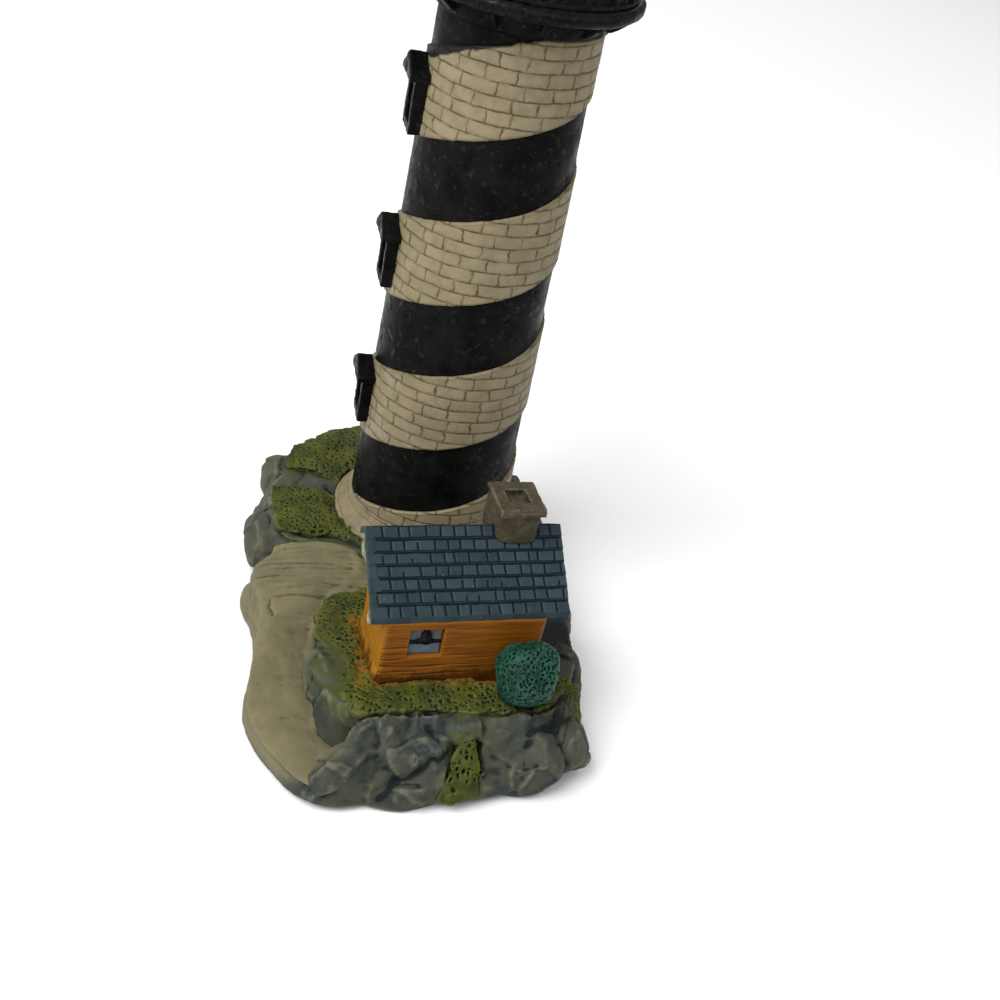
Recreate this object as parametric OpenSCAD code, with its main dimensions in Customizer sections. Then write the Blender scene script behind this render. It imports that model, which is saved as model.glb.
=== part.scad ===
// Lighthouse figurine: a spiral-banded tower on a craggy rock with a small cottage.
// Cast and hand-painted resin ornament. Millimetres, +Z up, -Y towards the front.
// The origin is the foot of the tower's axis on the surface that the felt rests on.

/* [Base] */
// Thickness of the felt under the rock
felt_t = 0.8; // [0.5:0.1:1.5]
// Distance of the felt from the rock's lower edge
felt_inset = 2.2; // [1.5:0.1:4]
// Height of the low terrace that carries the path and the crags
terrace_z = 3.6; // [3:0.1:5]
// Height of the plateau that carries the tower and the cottage
plateau_z = 10; // [8.5:0.1:12]
// Depth of the carved facets in the rock's walls
carve = 1.7; // [0.4:0.1:2]
// Height of the crags at their crest, above the plateau
crag_rise = 0.9; // [0.2:0.1:2.5]
// Thickness of the turf
turf_t = 1.4; // [0.8:0.1:2.2]
// Height of the path's upper end above the plateau
path_rise = 0.7; // [0.3:0.1:1.2]
// Thickness of the path at its low end
path_t = 1.1; // [0.8:0.1:2]
// Number of steps worn into the path
path_steps = 6; // [3:1:9]

/* [Tower] */
// Radius of the shaft, carried down to the table
shaft_r = 12.5; // [11:0.1:13]
// Loss of radius for each millimetre of height
taper = 0.0192; // [0.01:0.001:0.03]
// Height of the gallery's underside
gallery_z = 91.5; // [88:0.5:100]
// How far the flared foot stands out from the shaft's radius, on the plateau
foot_out = 1.9; // [1.1:0.1:2.5]
// Height of the flared foot
foot_h = 3.6; // [2.5:0.1:5]
// Radius of the spigot under the shaft
spigot_r = 7; // [5:0.1:9]
// Length of the spigot
spigot_h = 4.5; // [2:0.1:5.5]
// Clearance round a spigot, a seat or an inlaid piece
fit_gap = 0.1; // [0.05:0.01:0.2]

/* [Spiral] */
// Rise of the spiral in one turn
pitch = 23.25; // [20:0.25:25]
// Height of the brick band
band_h = 12.2; // [9:0.1:14]
// Thickness of the brick band on the shaft
band_t = 0.4; // [0.25:0.05:0.8]
// Height of the band's upper edge at the front of the first turn
band_z = 18; // [17:0.1:20]
// Bearing of that point, from +X
band_bearing = -104.5; // [-120:0.5:-90]
// Wander of the hand-painted edge
band_wander = 0.45; // [0:0.05:0.8]

/* [Tower windows] */
// Number of windows up the tower
window_count = 3; // [1:1:3]
// Distance from the band's upper edge down to the lowest sill
sill_drop = 9.4; // [8.5:0.1:9.8]
// How much further down the band each next sill lies
sill_fall = 0.95; // [0:0.05:1.1]
// Height of a window without its hood
window_h = 7; // [5:0.1:8]
// Width of a window over its jambs
window_w = 5.2; // [4:0.1:6]
// How far a frame stands out of the brickwork
window_out = 1.3; // [0.8:0.1:1.8]
// Width of a jamb
jamb_w = 1.1; // [0.7:0.1:1.4]
// Width of a hood
hood_w = 6.4; // [5.4:0.1:7.4]
// Height of a hood from its eaves to its ridge
hood_h = 2.3; // [1.5:0.1:3]
// How far a hood stands out of the brickwork
hood_out = 2.2; // [1.4:0.1:2.8]

/* [Gallery] */
// Radius of the gallery
gallery_r = 15.2; // [14:0.1:17]
// Thickness of the gallery's deck
gallery_t = 1.9; // [1.4:0.1:3]
// Height of the parapet
parapet_h = 4.6; // [3:0.1:6]
// Thickness of the parapet between its posts
parapet_t = 0.8; // [0.6:0.1:1.2]
// Distance of the parapet from the deck's edge
parapet_inset = 0.9; // [0.5:0.1:1.5]
// Number of parapet posts
post_count = 20; // [12:1:26]
// Number of brackets under the gallery
bracket_count = 12; // [8:1:18]

/* [Lantern] */
// Radius of the watch room
watch_r = 8.4; // [7:0.1:9.2]
// Height of the watch room
watch_h = 6.6; // [5:0.1:9]
// Radius of the lantern's deck
lantern_deck_r = 11; // [9.5:0.1:12.5]
// Thickness of the lantern's deck
lantern_deck_t = 1.1; // [0.8:0.1:2]
// Radius of the lantern's glazing
glass_r = 5.9; // [5:0.1:6.6]
// Height of the glazing between its curb and its head
glass_h = 6.6; // [5:0.1:9]
// Height of the curb under the glazing
curb_h = 1.8; // [1:0.1:3]
// Number of glazing bars
bar_count = 10; // [6:1:14]
// Radius of the lantern roof's eaves
roof_eave_r = 8.2; // [7.4:0.1:9]
// Height of the lantern's roof
dome_h = 5.6; // [4:0.1:8]
// Radius of the ventilator ball
ball_r = 1.5; // [1:0.1:2]
// Length of the lightning rod above the ball
rod_h = 3.4; // [2:0.1:6]

/* [Cottage] */
// Bearing of the cottage's long side
cottage_turn = 5; // [0:0.5:8]
// Length of the walls
wall_l = 22.5; // [18:0.1:24]
// Depth of the cottage over its walls
wall_d = 11; // [10.6:0.1:13]
// Distance from the front wall back to the ridge
ridge_in = 9.7; // [9:0.1:10]
// Height of the front wall above the plateau
wall_h = 11.4; // [9:0.1:14]
// Overhang of the verges past the gables
verge_out = 2.4; // [1.5:0.1:3]
// Overhang of the eaves
eave_out = 0.7; // [0.3:0.1:1.2]
// Slope of the roof, rise over run
roof_slope = 0.78; // [0.6:0.01:0.95]
// Thickness of the roof, measured upright
roof_t = 1.1; // [0.8:0.1:1.8]
// Number of shingle courses on the front slope
course_count = 7; // [5:1:9]
// Step from one course to the next
course_step = 0.25; // [0.1:0.05:0.4]
// Number of boards on the front wall
board_count = 9; // [6:1:12]
// Depth of the groove between boards
board_step = 0.14; // [0.05:0.01:0.25]
// Depth of the cottage's seat in the plateau
seat_d = 0.6; // [0.3:0.1:1]

/* [Cottage window and door] */
// Width of the window
pane_w = 4.4; // [3:0.1:6]
// Height of the window
pane_h = 4.4; // [3:0.1:5]
// Height of the window's sill above the plateau
pane_z = 5.7; // [4.5:0.1:6]
// Place of the window's middle along the wall
pane_x = -5.7; // [-7:0.1:-3]
// Depth of the window's recess
pane_d = 0.9; // [0.6:0.1:1.4]
// Width of a glazing bar
sash_w = 0.65; // [0.4:0.05:0.9]
// Width of the gable door
door_w = 4.4; // [3:0.1:5.5]
// Height of the gable door above the plateau
door_h = 8.6; // [7:0.1:10]

/* [Chimney] */
// Width of the chimney along the ridge
stack_w = 5.8; // [4:0.1:7]
// Depth of the chimney across the ridge
stack_d = 6.8; // [5:0.1:8]
// Bow of the chimney's front
stack_bow = 0.9; // [0.3:0.1:1.5]
// Height of the chimney above the ridge, without its cap
stack_h = 2.9; // [2:0.1:5]
// Thickness of the cap
cap_t = 1; // [0.6:0.1:1.6]
// Overhang of the cap
cap_out = 0.3; // [0.1:0.05:0.6]
// Width of the flue
flue_w = 3; // [2:0.1:3.6]
// Depth of the flue's recess
flue_d = 0.8; // [0.4:0.1:0.9]

/* [Bush] */
// Radius of the bush
bush_r = 4.1; // [3.4:0.1:4.2]
// Height of its middle above the plateau
bush_z = 5.8; // [4.6:0.1:6.4]
// Radius of its seat
bush_seat_r = 2.2; // [1.6:0.1:2.4]

/* [Hidden] */
$fn = 72;

// Paint colours
felt_green = [0.16, 0.24, 0.18];
rock_grey = [0.42, 0.43, 0.43];
path_tan = [0.55, 0.51, 0.44];
turf_green = [0.40, 0.42, 0.16];
bush_green = [0.02, 0.32, 0.25];
cream = [0.76, 0.71, 0.61];
black_paint = [0.05, 0.05, 0.05];
lamp_yellow = [0.93, 0.88, 0.62];
wall_orange = [0.72, 0.40, 0.12];
slate_blue = [0.20, 0.28, 0.33];
stack_taupe = [0.45, 0.40, 0.35];
pane_blue = [0.36, 0.47, 0.60];
door_brown = [0.30, 0.18, 0.10];

// Outline of the rock at the table and of its plateau, point for point,
// counter-clockwise seen from above: back, left, front, right
rock_edge = [
    [-10, 26.5], [-17, 22.5], [-23.5, 17.5], [-25, 10.5], [-28, 3.5], [-27, -2.5], [-25, -8],
    [-25.5, -12.5], [-28.5, -17.5], [-27.5, -24], [-28.5, -31], [-29.5, -39], [-27.5, -46],
    [-23.5, -52], [-18, -54.5], [-10, -53], [-3, -54], [4, -52.5], [11, -50.5], [16.5, -44],
    [20, -34], [20.5, -25], [21, -12], [21.5, 0], [20.5, 10], [16, 18.5], [8, 24], [-1, 26.5]
];
plateau_edge = [
    [-9, 23], [-15.5, 19.5], [-20.5, 15], [-22, 9.5], [-24.7, 3], [-24.3, -3], [-22.8, -8.5],
    [-13, -11.5], [-12.5, -17.5], [-17, -22], [-19.8, -28], [-20.3, -36], [-20, -42.5],
    [-17.5, -46.5], [-12.5, -46.5], [-8, -46], [-2, -46.5], [4, -46.5], [10, -45.5],
    [14.5, -41.5], [17.5, -33.5], [18, -25], [18.5, -12], [19, 0], [18, 9], [14, 16],
    [7, 21], [-1, 23.5]
];
edge_count = len(rock_edge);
// Places along the outlines: the index of a point and the share of the way to the next.
// A piece runs from its own place up to the next piece's.
terrace_index = [6, 19.4];
path_index = 6.7;
left_crag_index = 13.45;
middle_crag_index = 15;
gully_index = 15.9;
right_crag_index = 16.5;
edge_turf_index = 18.8;
edge_turf_end_index = 19.35;
back_turf_index = 24.3;
stone_index = 3;
left_turf_index = 4;
left_turf_end_index = 7.25;
turf_tail = 0.55;
landing_index = [7.35, 8.95];
side_turf_index = 9.05;
side_turf_end_index = 12.2;
front_turf_index = 12.5;
front_turf_end_index = 19;
joint_index = 0.05;

bush_at = [7.1, -43.6];
cottage_at = [-2, -30.6];
wall_shift = -0.45;
turf_inset = 0.6;
turf_wrap = 6;
landing_end = [[9, -16.4], [9, -24.4]];
hand = 0.05;
rock_gap = 0.15;
foot_gap = 0.4;
path_inset = 0.6;
gully_lip = 1.2;
edge_lip = 2.4;
hub = [0, -12];
chimney_inset = 4.35;
chimney_at = [wall_l / 2 - chimney_inset, 1.1];

// Heights worked out from the sizes above
foot_r = shaft_r + foot_out;
shaft_z = plateau_z;
seat_z = plateau_z - seat_d;
foot_z = plateau_z + foot_h;
deck_z = gallery_z + gallery_t;
lantern_deck_z = deck_z + watch_h;
curb_z = lantern_deck_z + lantern_deck_t;
glass_z = curb_z + curb_h;
dome_z = glass_z + glass_h;
wall_top = plateau_z + wall_h;
roof_l = wall_l + 2 * verge_out;
ridge_z = wall_top + roof_t + ridge_in * roof_slope;
back_y = wall_d - ridge_in;
board_h = (wall_h + seat_d) / board_count;
corbel_h = 2.6;
bracket_t = 1.1;
recess_d = 0.6;
door_y = (back_y - ridge_in) / 2;

// Radius of the bare shaft and of the brick band at a height
function shaft_at(z) = shaft_r - taper * z - band_t / 2;
function brick_at(z) = shaft_at(z) + band_t;

// A point on a smooth closed curve through p, counted in its points
function on_curve(p, t) =
    let (n = len(p), i = floor(t), f = t - i,
        a = p[(i - 1 + n) % n], b = p[i % n], c = p[(i + 1) % n], d = p[(i + 2) % n])
    (2 * b + (c - a) * f + (2 * a - 5 * b + 4 * c - d) * f * f
        + (3 * b - a - 3 * c + d) * f * f * f) / 2;
function smooth(p, steps) = [for (i = [0:len(p) * steps - 1]) on_curve(p, i / steps)];

// Blend from 0 to 1 between two limits
function ease(a, b, x) = let (t = max(0, min(1, (x - a) / (b - a)))) t * t * (3 - 2 * t);
function mix(a, b, m) = a + (b - a) * m;

// Uneven value from -1 to 1 that repeats for the same numbers
function rough(a, b) = let (s = sin(a * 4379.1 + b * 7919.7) * 437.58) 2 * (s - floor(s)) - 1;
// Slow waves with chiselled breaks, from about -1 to 1
function chisel(u, v) = 0.45 * sin(u * 137 + v * 61) + 0.35 * sin(u * 281 - v * 143 + 40)
    + 0.2 * rough(floor(u * 2), floor(v * 1.5));

// Middle of a list of points
function middle(p, i = 0) = p[i] / len(p) + (i < len(p) - 1 ? middle(p, i + 1) : [0, 0, 0]);

// Closed skin round a stack of rings with equal point counts. Both ends are capped by
// triangles round the points first and last, which see the whole of their ring.
module skin(rings, first, last) {
    n = len(rings[0]);
    m = len(rings);
    polyhedron(
        points = concat([for (r = rings) each r], [first, last]),
        faces = concat(
            [for (i = [0:n - 1]) [m * n, i, (i + 1) % n]],
            [for (k = [0:m - 2]) for (i = [0:n - 1]) for (h = [0, 1])
                let (a = k * n + i, b = k * n + (i + 1) % n, c = a + n, d = b + n)
                h == 0 ? [a, c, b] : [b, c, d]],
            [for (i = [0:n - 1]) [m * n + 1, (m - 1) * n + (i + 1) % n, (m - 1) * n + i]]
        ),
        convexity = 8
    );
}

// Solid on a flat seat at floor_z under a height field. at(u, v) gives the plan and
// top(u, v) the height: u runs counter-clockwise round the rock, v outwards, both 0 to 1.
// grain is the height of the unevenness on top, hand that of its plan.
module strip(nu, nv, floor_z, grain, at, top) {
    grid = [for (i = [0:nu]) for (j = [0:nv])
        let (q = at(i / nu, j / nv))
        [q[0] + hand * rough(i + 0.2, j), q[1] + hand * rough(i, j + 0.7),
            top(i / nu, j / nv) + grain * rough(i + 0.37, j + 0.61)]];
    w = nv + 1;
    rim = concat(
        [for (j = [0:nv]) j],
        [for (i = [1:nu]) i * w + nv],
        [for (j = [nv - 1:-1:0]) nu * w + j],
        [for (i = [nu - 1:-1:1]) i * w]
    );
    r = len(rim);
    low = len(grid);
    polyhedron(
        points = concat(grid, [for (k = rim) [grid[k][0], grid[k][1], floor_z]]),
        faces = concat(
            [for (i = [0:nu - 1]) for (j = [0:nv - 1]) for (h = [0, 1])
                let (a = i * w + j, b = a + 1, c = a + w, d = c + 1)
                h == 0 ? [a, c, b] : [b, c, d]],
            [for (k = [0:r - 1]) for (h = [0, 1])
                let (a = rim[k], b = rim[(k + 1) % r], c = low + k, d = low + (k + 1) % r)
                h == 0 ? [a, b, c] : [b, d, c]],
            [for (k = [0:nv]) [low + r - 1, low + k, low + k + 1]],
            [for (i = [1:nu - 2]) for (h = [0, 1])
                let (a = low + nv + i, b = low + r - i)
                h == 0 ? [a, a + 1, b - 1] : [a, b - 1, b]],
            [for (k = [nv + nu:2 * nv + nu]) [low + nv + nu - 1, low + k, low + k + 1]]
        ),
        convexity = 8
    );
}

// Stretch from one place up to the joint before the next
function up_to(a, b) = [a, b - joint_index];

// Plan of a piece on the terrace, from the plateau's wall out to the rock's edge
function on_terrace(span, inner, outer, u, v) =
    let (t = mix(span[0], span[1], u), a = on_curve(plateau_edge, t),
        b = on_curve(rock_edge, t), out = (b - a) / norm(b - a))
    mix(a + out * inner, b - out * outer, v);

// Plan of a piece on the plateau, out from the tower's foot
function round_tower(span, reach, u, v) =
    let (b = on_curve(plateau_edge, mix(span[0], span[1], u)), r = norm(b))
    b / r * mix(foot_r + 2 * fit_gap, r - turf_inset, v * reach);

// The same, out from the cottage's left wall, round its back corner, and from its front wall
function beside_cottage(span, u, v) =
    let (b = on_curve(plateau_edge, mix(span[0], span[1], u)),
        p = wall_point([-wall_l / 2 - 2 * fit_gap, 0]),
        corner_y = wall_point([-wall_l / 2, back_y + 2 * fit_gap])[1],
        wrap = turf_wrap * ease(corner_y, corner_y + 1.5, b[1]))
    [mix(p[0] - (b[1] - p[1]) * tan(cottage_turn) + wrap, b[0] + turf_inset, v), b[1]];
function before_cottage(span, u, v) =
    let (b = on_curve(plateau_edge, mix(span[0], span[1], u)),
        p = wall_point([0, -ridge_in - 2 * fit_gap]))
    [b[0], mix(p[1] + (b[0] - p[0]) * tan(cottage_turn), b[1] + turf_inset, v)];
function wall_point(q) = cottage_at + [
    (q[0] + wall_shift) * cos(cottage_turn) - q[1] * sin(cottage_turn),
    (q[0] + wall_shift) * sin(cottage_turn) + q[1] * cos(cottage_turn)];

module felt_pad() {
    color(felt_green) linear_extrude(felt_t) offset(-felt_inset) polygon(smooth(rock_edge, 2));
}

// Share of the way in from the rock's edge and height, for each ring of the rock's wall.
// open is 1 where the wall has a terrace and 0 where it is sheer.
function wall_ring(k, open) =
    let (h = plateau_z - terrace_z,
        terraced = [[0.1, felt_t], [0, felt_t + 0.7], [0, terrace_z - 1], [0.02, terrace_z - 0.4],
            [0.07, terrace_z], [1, terrace_z], [1.01, terrace_z + 0.3 * h],
            [1.02, terrace_z + 0.6 * h], [1.03, plateau_z - 0.8], [1.08, plateau_z]],
        sheer = [[0.3, felt_t], [0, felt_t + 0.9], [0.02, terrace_z - 0.8],
            [0.1, terrace_z + 0.4], [0.3, terrace_z + 0.22 * h], [0.32, terrace_z + 0.38 * h],
            [0.55, terrace_z + 0.55 * h], [0.62, terrace_z + 0.72 * h],
            [0.9, plateau_z - 0.6], [1.1, plateau_z]])
    mix(sheer[k], terraced[k], open);

module rock_base() {
    steps = 4;
    last = 9;
    n = edge_count * steps;
    rings = [for (k = [0:last]) [for (i = [0:n - 1])
        let (t = i / steps,
            open = ease(terrace_index[0], terrace_index[0] + 0.8, t)
                * (1 - ease(terrace_index[1], terrace_index[1] + 1.2, t)),
            a = on_curve(rock_edge, t), b = on_curve(plateau_edge, t), r = wall_ring(k, open),
            in_dir = (b - a) / norm(b - a),
            free = k == 0 || k == last ? 0 : 1,
            cut = free * carve * (0.5 + 0.5 * chisel(t * 1.3, k)) * (1 - 0.6 * open)
                * (k == 5 ? 1 - open : 1),
            lift = free * (1 - open) * 0.35 * rough(i, k),
            q = mix(a, b, r[0]) + in_dir * cut)
        [q[0], q[1], r[1] + lift]]];
    color(rock_grey) difference() {
        skin(rings, [hub[0], hub[1], felt_t], [hub[0], hub[1], plateau_z]);
        translate([0, 0, plateau_z - spigot_h - fit_gap])
            cylinder(r = spigot_r + fit_gap, h = spigot_h + 1);
        on_cottage(seat_z) translate([-wall_l / 2 - fit_gap, -ridge_in - fit_gap, 0])
            cube([wall_l + 2 * fit_gap, wall_d + 2 * fit_gap, seat_d + 1]);
    }
}

// A point moved straight out where it would come too near to the tower's foot
function clear_foot(p) = p * max(1, (foot_r + foot_gap) / norm(p));

// Height of the path: level by the tower, down worn steps, then a long fall to the front
function path_top(u, v) =
    let (top_z = plateau_z + path_rise, low_z = terrace_z + path_t,
        fall = ease(0.18, 0.72, u), worn = floor(fall * path_steps) / path_steps,
        z = mix(top_z, low_z, mix(fall, worn, 0.35)))
    z + 0.25 * sin(v * 180) - 0.5 * ease(0.8, 1, v);

module footpath() {
    color(path_tan) strip(30, 6, terrace_z, 0.1,
        function(u, v) on_terrace(up_to(path_index, left_crag_index), rock_gap, path_inset, u, v),
        function(u, v) path_top(u, v));
}

// The path runs on behind the cottage, level with the plateau and clear of the tower's foot
module landing() {
    color(path_tan) strip(18, 4, plateau_z, 0.1,
        function(u, v) clear_foot(mix(
            on_curve(plateau_edge, mix(landing_index[0], landing_index[1], v)) + [2 * rock_gap, 0],
            mix(landing_end[0], landing_end[1], v), u)),
        function(u, v) plateau_z + path_rise * (0.6 + 0.4 * sin(180 * v)));
}

// Height of a crag: crest by the plateau, rounded shoulder, broken faces, clefts at its ends
function crag_top(u, v, seed) =
    let (crest = plateau_z + crag_rise, low = terrace_z + 0.7,
        rib = 0.5 + 0.5 * chisel(u * 1.7 + seed, v * 2.3))
    mix(crest, low, pow(v, 1.7)) - 1.4 * rib * sin(170 * v) - pow(abs(2 * u - 1), 4) * (1 - v);

module crag(span, nu, seed) {
    color(rock_grey) strip(nu, 7, terrace_z, 0.25,
        function(u, v) on_terrace(span, rock_gap, 0.8, u, v), function(u, v) crag_top(u, v, seed));
}
module left_crag() {
    crag(up_to(left_crag_index, middle_crag_index), 13, 1);
}
module middle_crag() {
    crag(up_to(middle_crag_index, gully_index), 11, 4);
}
module right_crag() {
    crag(up_to(right_crag_index, edge_turf_index), 16, 7);
}

// Turf that hangs down the rock to the height low_z
module hanging_turf(span, low_z) {
    color(turf_green) strip(5, 7, terrace_z, 0.15,
        function(u, v) on_terrace(span, rock_gap, 0.6, u, v),
        function(u, v) mix(plateau_z - 0.2, low_z, pow(v, 1.3)) + 0.5 * sin(u * 180));
}
module gully_turf() {
    hanging_turf(up_to(gully_index, right_crag_index), terrace_z + gully_lip);
}
module edge_turf() {
    hanging_turf([edge_turf_index, edge_turf_end_index], terrace_z + edge_lip);
}

// Height of the turf on the plateau: rounded edges and an uneven crown
function turf_top(u, v, seed) = plateau_z + turf_t * (0.5 + 0.5 * pow(sin(180 * v), 0.5))
    - 0.3 * pow(abs(2 * u - 1), 6) + 0.12 * chisel(u * 5 + seed, v * 3);

module turf(nu, nv, seed, at) {
    color(turf_green) strip(nu, nv, plateau_z, 0.12, at,
        function(u, v) turf_top(u, v, seed));
}
module back_turf() {
    stretch = up_to(back_turf_index, stone_index + edge_count);
    turf(30, 5, 3, function(u, v) round_tower(stretch, 1, u, v));
}
// Broad beside the tower, with a narrow tail along its foot
module left_turf() {
    stretch = [left_turf_index, left_turf_end_index];
    turf(22, 5, 5, function(u, v)
        round_tower(stretch, mix(1, turf_tail, ease(0.62, 0.78, u)), u, v));
}
module cottage_turf() {
    stretch = [side_turf_index, side_turf_end_index];
    turf(14, 4, 7, function(u, v) beside_cottage(stretch, u, v));
}
module front_turf() {
    stretch = [front_turf_index, front_turf_end_index];
    difference() {
        turf(28, 5, 9, function(u, v) before_cottage(stretch, u, v));
        translate([bush_at[0], bush_at[1], plateau_z - 1])
            cylinder(r = bush_seat_r + fit_gap, h = turf_t + 3, $fn = 20);
    }
}
module step_stone() {
    color(rock_grey) strip(6, 5, plateau_z, 0.1,
        function(u, v) round_tower(up_to(stone_index, left_turf_index), 0.6, u, v),
        function(u, v) plateau_z + turf_t * (0.4 + 0.6 * sin(180 * v) * sin(180 * u)));
}

module bush() {
    n = 20;
    tilt = [for (k = [0:7]) mix(-60, 78, k / 7)];
    ball = [for (k = [0:7]) [for (i = [0:n - 1])
        let (a = 360 * i / n, r = bush_r * (1 + 0.035 * rough(i, k)) * cos(tilt[k]))
        [bush_at[0] + r * cos(a), bush_at[1] + r * sin(a),
            plateau_z + bush_z + bush_r * sin(tilt[k])]]];
    stem = [for (i = [0:n - 1]) [bush_at[0] + bush_seat_r * cos(360 * i / n),
        bush_at[1] + bush_seat_r * sin(360 * i / n), plateau_z]];
    color(bush_green) skin(concat([stem], ball), [bush_at[0], bush_at[1], plateau_z],
        [bush_at[0], bush_at[1], ball[7][0][2]]);
}

module tower_shaft() {
    color(black_paint) difference() {
        rotate_extrude() polygon([
            [0, shaft_z - spigot_h], [spigot_r - 0.4, shaft_z - spigot_h],
            [spigot_r, shaft_z - spigot_h + 0.4], [spigot_r, shaft_z],
            [shaft_at(shaft_z), shaft_z], [shaft_at(gallery_z), gallery_z], [0, gallery_z]
        ]);
        for (k = [0:window_count - 1]) window_room(k);
    }
}

// Flared ring round the shaft's foot, hollow curve outside
module tower_foot() {
    steps = 8;
    inner = fit_gap / 2;
    color(cream) rotate_extrude() polygon(concat(
        [[shaft_at(foot_z) + inner, foot_z], [shaft_at(plateau_z) + inner, plateau_z],
            [foot_r, plateau_z], [foot_r, plateau_z + 0.4]],
        [for (i = [1:steps]) let (u = i / steps)
            [mix(foot_r, brick_at(foot_z), 1 - pow(1 - u, 2)), plateau_z + 0.4
                + (foot_h - 0.4) * u]]
    ));
}

// Upper edge of the brick band at angle a past its first front point
function band_top(a) = band_z + pitch * a / 360 - band_wander * sin(a);

module brick_spiral() {
    step = 10;
    tip = 0.6;
    low = foot_z + fit_gap;
    high = gallery_z - corbel_h - fit_gap;
    first = ceil((low + tip - band_z) / pitch * 360 / step) * step;
    last = floor((high - tip - band_z + band_h) / pitch * 360 / step) * step;
    grow = 1 / cos(step / 2);
    rings = [for (a = [first:step:last])
        let (b = a + band_bearing, hi = min(high, band_top(a)),
            lo = max(low, band_top(a) - band_h), dir = [cos(b), sin(b), 0])
        [for (c = [[0, lo], [0, hi], [1, hi], [1, lo]])
            dir * ((shaft_at(c[1]) + 0.01) * grow + c[0] * (band_t - 0.05)) + [0, 0, c[1]]]];
    color(cream) difference() {
        skin(rings, middle(rings[0]), middle(rings[len(rings) - 1]));
        for (k = [0:window_count - 1]) window_room(k);
    }
}

// The windows face -X. Height of window k's sill
function sill(k) = band_top(180 - band_bearing + 360 * k) - sill_drop - k * sill_fall;
// Distance from the tower's axis of a face that stands out of the brickwork by d
function face_at(k, d) = brick_at(sill(k)) + d;
// The same for the flat back of window k's recess in the shaft
function recess_at(k) = shaft_at(sill(k) + window_h) - recess_d;

// Block facing -X between the recess and the distance r, on the sill of window k
module window_block(k, r, w, z, h) {
    translate([-r, -w / 2, sill(k) + z]) cube([r - recess_at(k), w, h]);
}

module window_room(k) {
    window_block(k, face_at(k, 2), window_w + 2 * fit_gap, -fit_gap, window_h + 2 * fit_gap);
}

module window_frame(k) {
    face = face_at(k, window_out);
    color(black_paint) difference() {
        window_block(k, face, window_w, 0, window_h);
        translate([-face - 1, -window_w / 2 + jamb_w, sill(k) + jamb_w])
            cube([face, window_w - 2 * jamb_w, window_h - 1.6 * jamb_w]);
    }
}

module window_pane(k) {
    color(black_paint) window_block(k, face_at(k, 0.2), window_w - 2 * jamb_w - fit_gap,
        jamb_w + fit_gap / 2, window_h - 1.6 * jamb_w - fit_gap);
}

// Gabled hood over a window, its ridge square to the tower
module window_hood(k) {
    eave = 0.9;
    color(black_paint) difference() {
        translate([-face_at(k, hood_out), 0, sill(k) + window_h]) rotate([90, 0, 90])
            linear_extrude(hood_out + 3) polygon([
                [-hood_w / 2, 0], [hood_w / 2, 0], [hood_w / 2, eave],
                [0, eave + hood_h], [-hood_w / 2, eave]
            ]);
        translate([0, 0, plateau_z]) cylinder(r1 = brick_at(plateau_z) + 0.02,
            r2 = brick_at(gallery_z) + 0.02, h = gallery_z - plateau_z);
    }
}

// Collar under the gallery with a ring of brackets
module gallery_corbel() {
    low = gallery_z - corbel_h;
    r_in = shaft_at(low) + fit_gap / 2;
    r_out = brick_at(low) + 0.4;
    color(black_paint) {
        rotate_extrude() polygon([
            [r_in, low], [r_out, low], [r_out + 0.5, gallery_z], [r_in, gallery_z]
        ]);
        for (i = [0:bracket_count - 1]) rotate(i * 360 / bracket_count)
            rotate([90, 0, 0]) translate([0, 0, -bracket_t / 2]) linear_extrude(bracket_t)
                polygon([[r_in + 0.3, low + 0.5], [r_in + 0.3, gallery_z],
                    [gallery_r - 1.4, gallery_z], [gallery_r - 1.4, gallery_z - 0.7],
                    [r_out + 0.6, low + 0.5]]);
    }
}

module gallery_deck() {
    edge = 0.5;
    color(black_paint) rotate_extrude() polygon([
        [0, gallery_z], [gallery_r - edge, gallery_z], [gallery_r, gallery_z + edge],
        [gallery_r, deck_z - edge], [gallery_r - edge, deck_z], [0, deck_z]
    ]);
}

// Solid cast parapet with posts, sunk panels and a handrail
module gallery_parapet() {
    r_out = gallery_r - parapet_inset;
    r_in = r_out - parapet_t - 0.4;
    rail_h = 0.7;
    kerb_h = 0.6;
    color(black_paint) {
        rotate_extrude() polygon([
            [r_in, deck_z], [r_out, deck_z], [r_out, deck_z + kerb_h],
            [r_in + parapet_t, deck_z + kerb_h], [r_in + parapet_t, deck_z + parapet_h - rail_h],
            [r_out, deck_z + parapet_h - rail_h], [r_out, deck_z + parapet_h],
            [r_in, deck_z + parapet_h]
        ]);
        for (i = [0:post_count - 1]) rotate((i + 0.5) * 360 / post_count)
            translate([r_in + parapet_t / 2, -0.35, deck_z + kerb_h / 2])
                cube([r_out - r_in - parapet_t / 2 - 0.05, 0.7, parapet_h - kerb_h]);
    }
}

module watch_room() {
    color(black_paint) rotate_extrude() polygon([
        [0, deck_z], [watch_r + 0.6, deck_z], [watch_r + 0.6, deck_z + 0.6],
        [watch_r, deck_z + 0.9], [watch_r, lantern_deck_z - 1.4],
        [watch_r + 0.9, lantern_deck_z], [0, lantern_deck_z]
    ]);
}

module lantern_deck() {
    edge = 0.3;
    color(black_paint) rotate_extrude() polygon([
        [0, lantern_deck_z], [lantern_deck_r - edge, lantern_deck_z],
        [lantern_deck_r, lantern_deck_z + edge], [lantern_deck_r, curb_z - edge],
        [lantern_deck_r - edge, curb_z], [0, curb_z]
    ]);
}

module lantern_curb() {
    color(black_paint) rotate_extrude() polygon([
        [0, curb_z], [glass_r + 1.2, curb_z], [glass_r + 1.2, glass_z - 0.5],
        [glass_r + 0.9, glass_z], [0, glass_z]
    ]);
}

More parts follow.
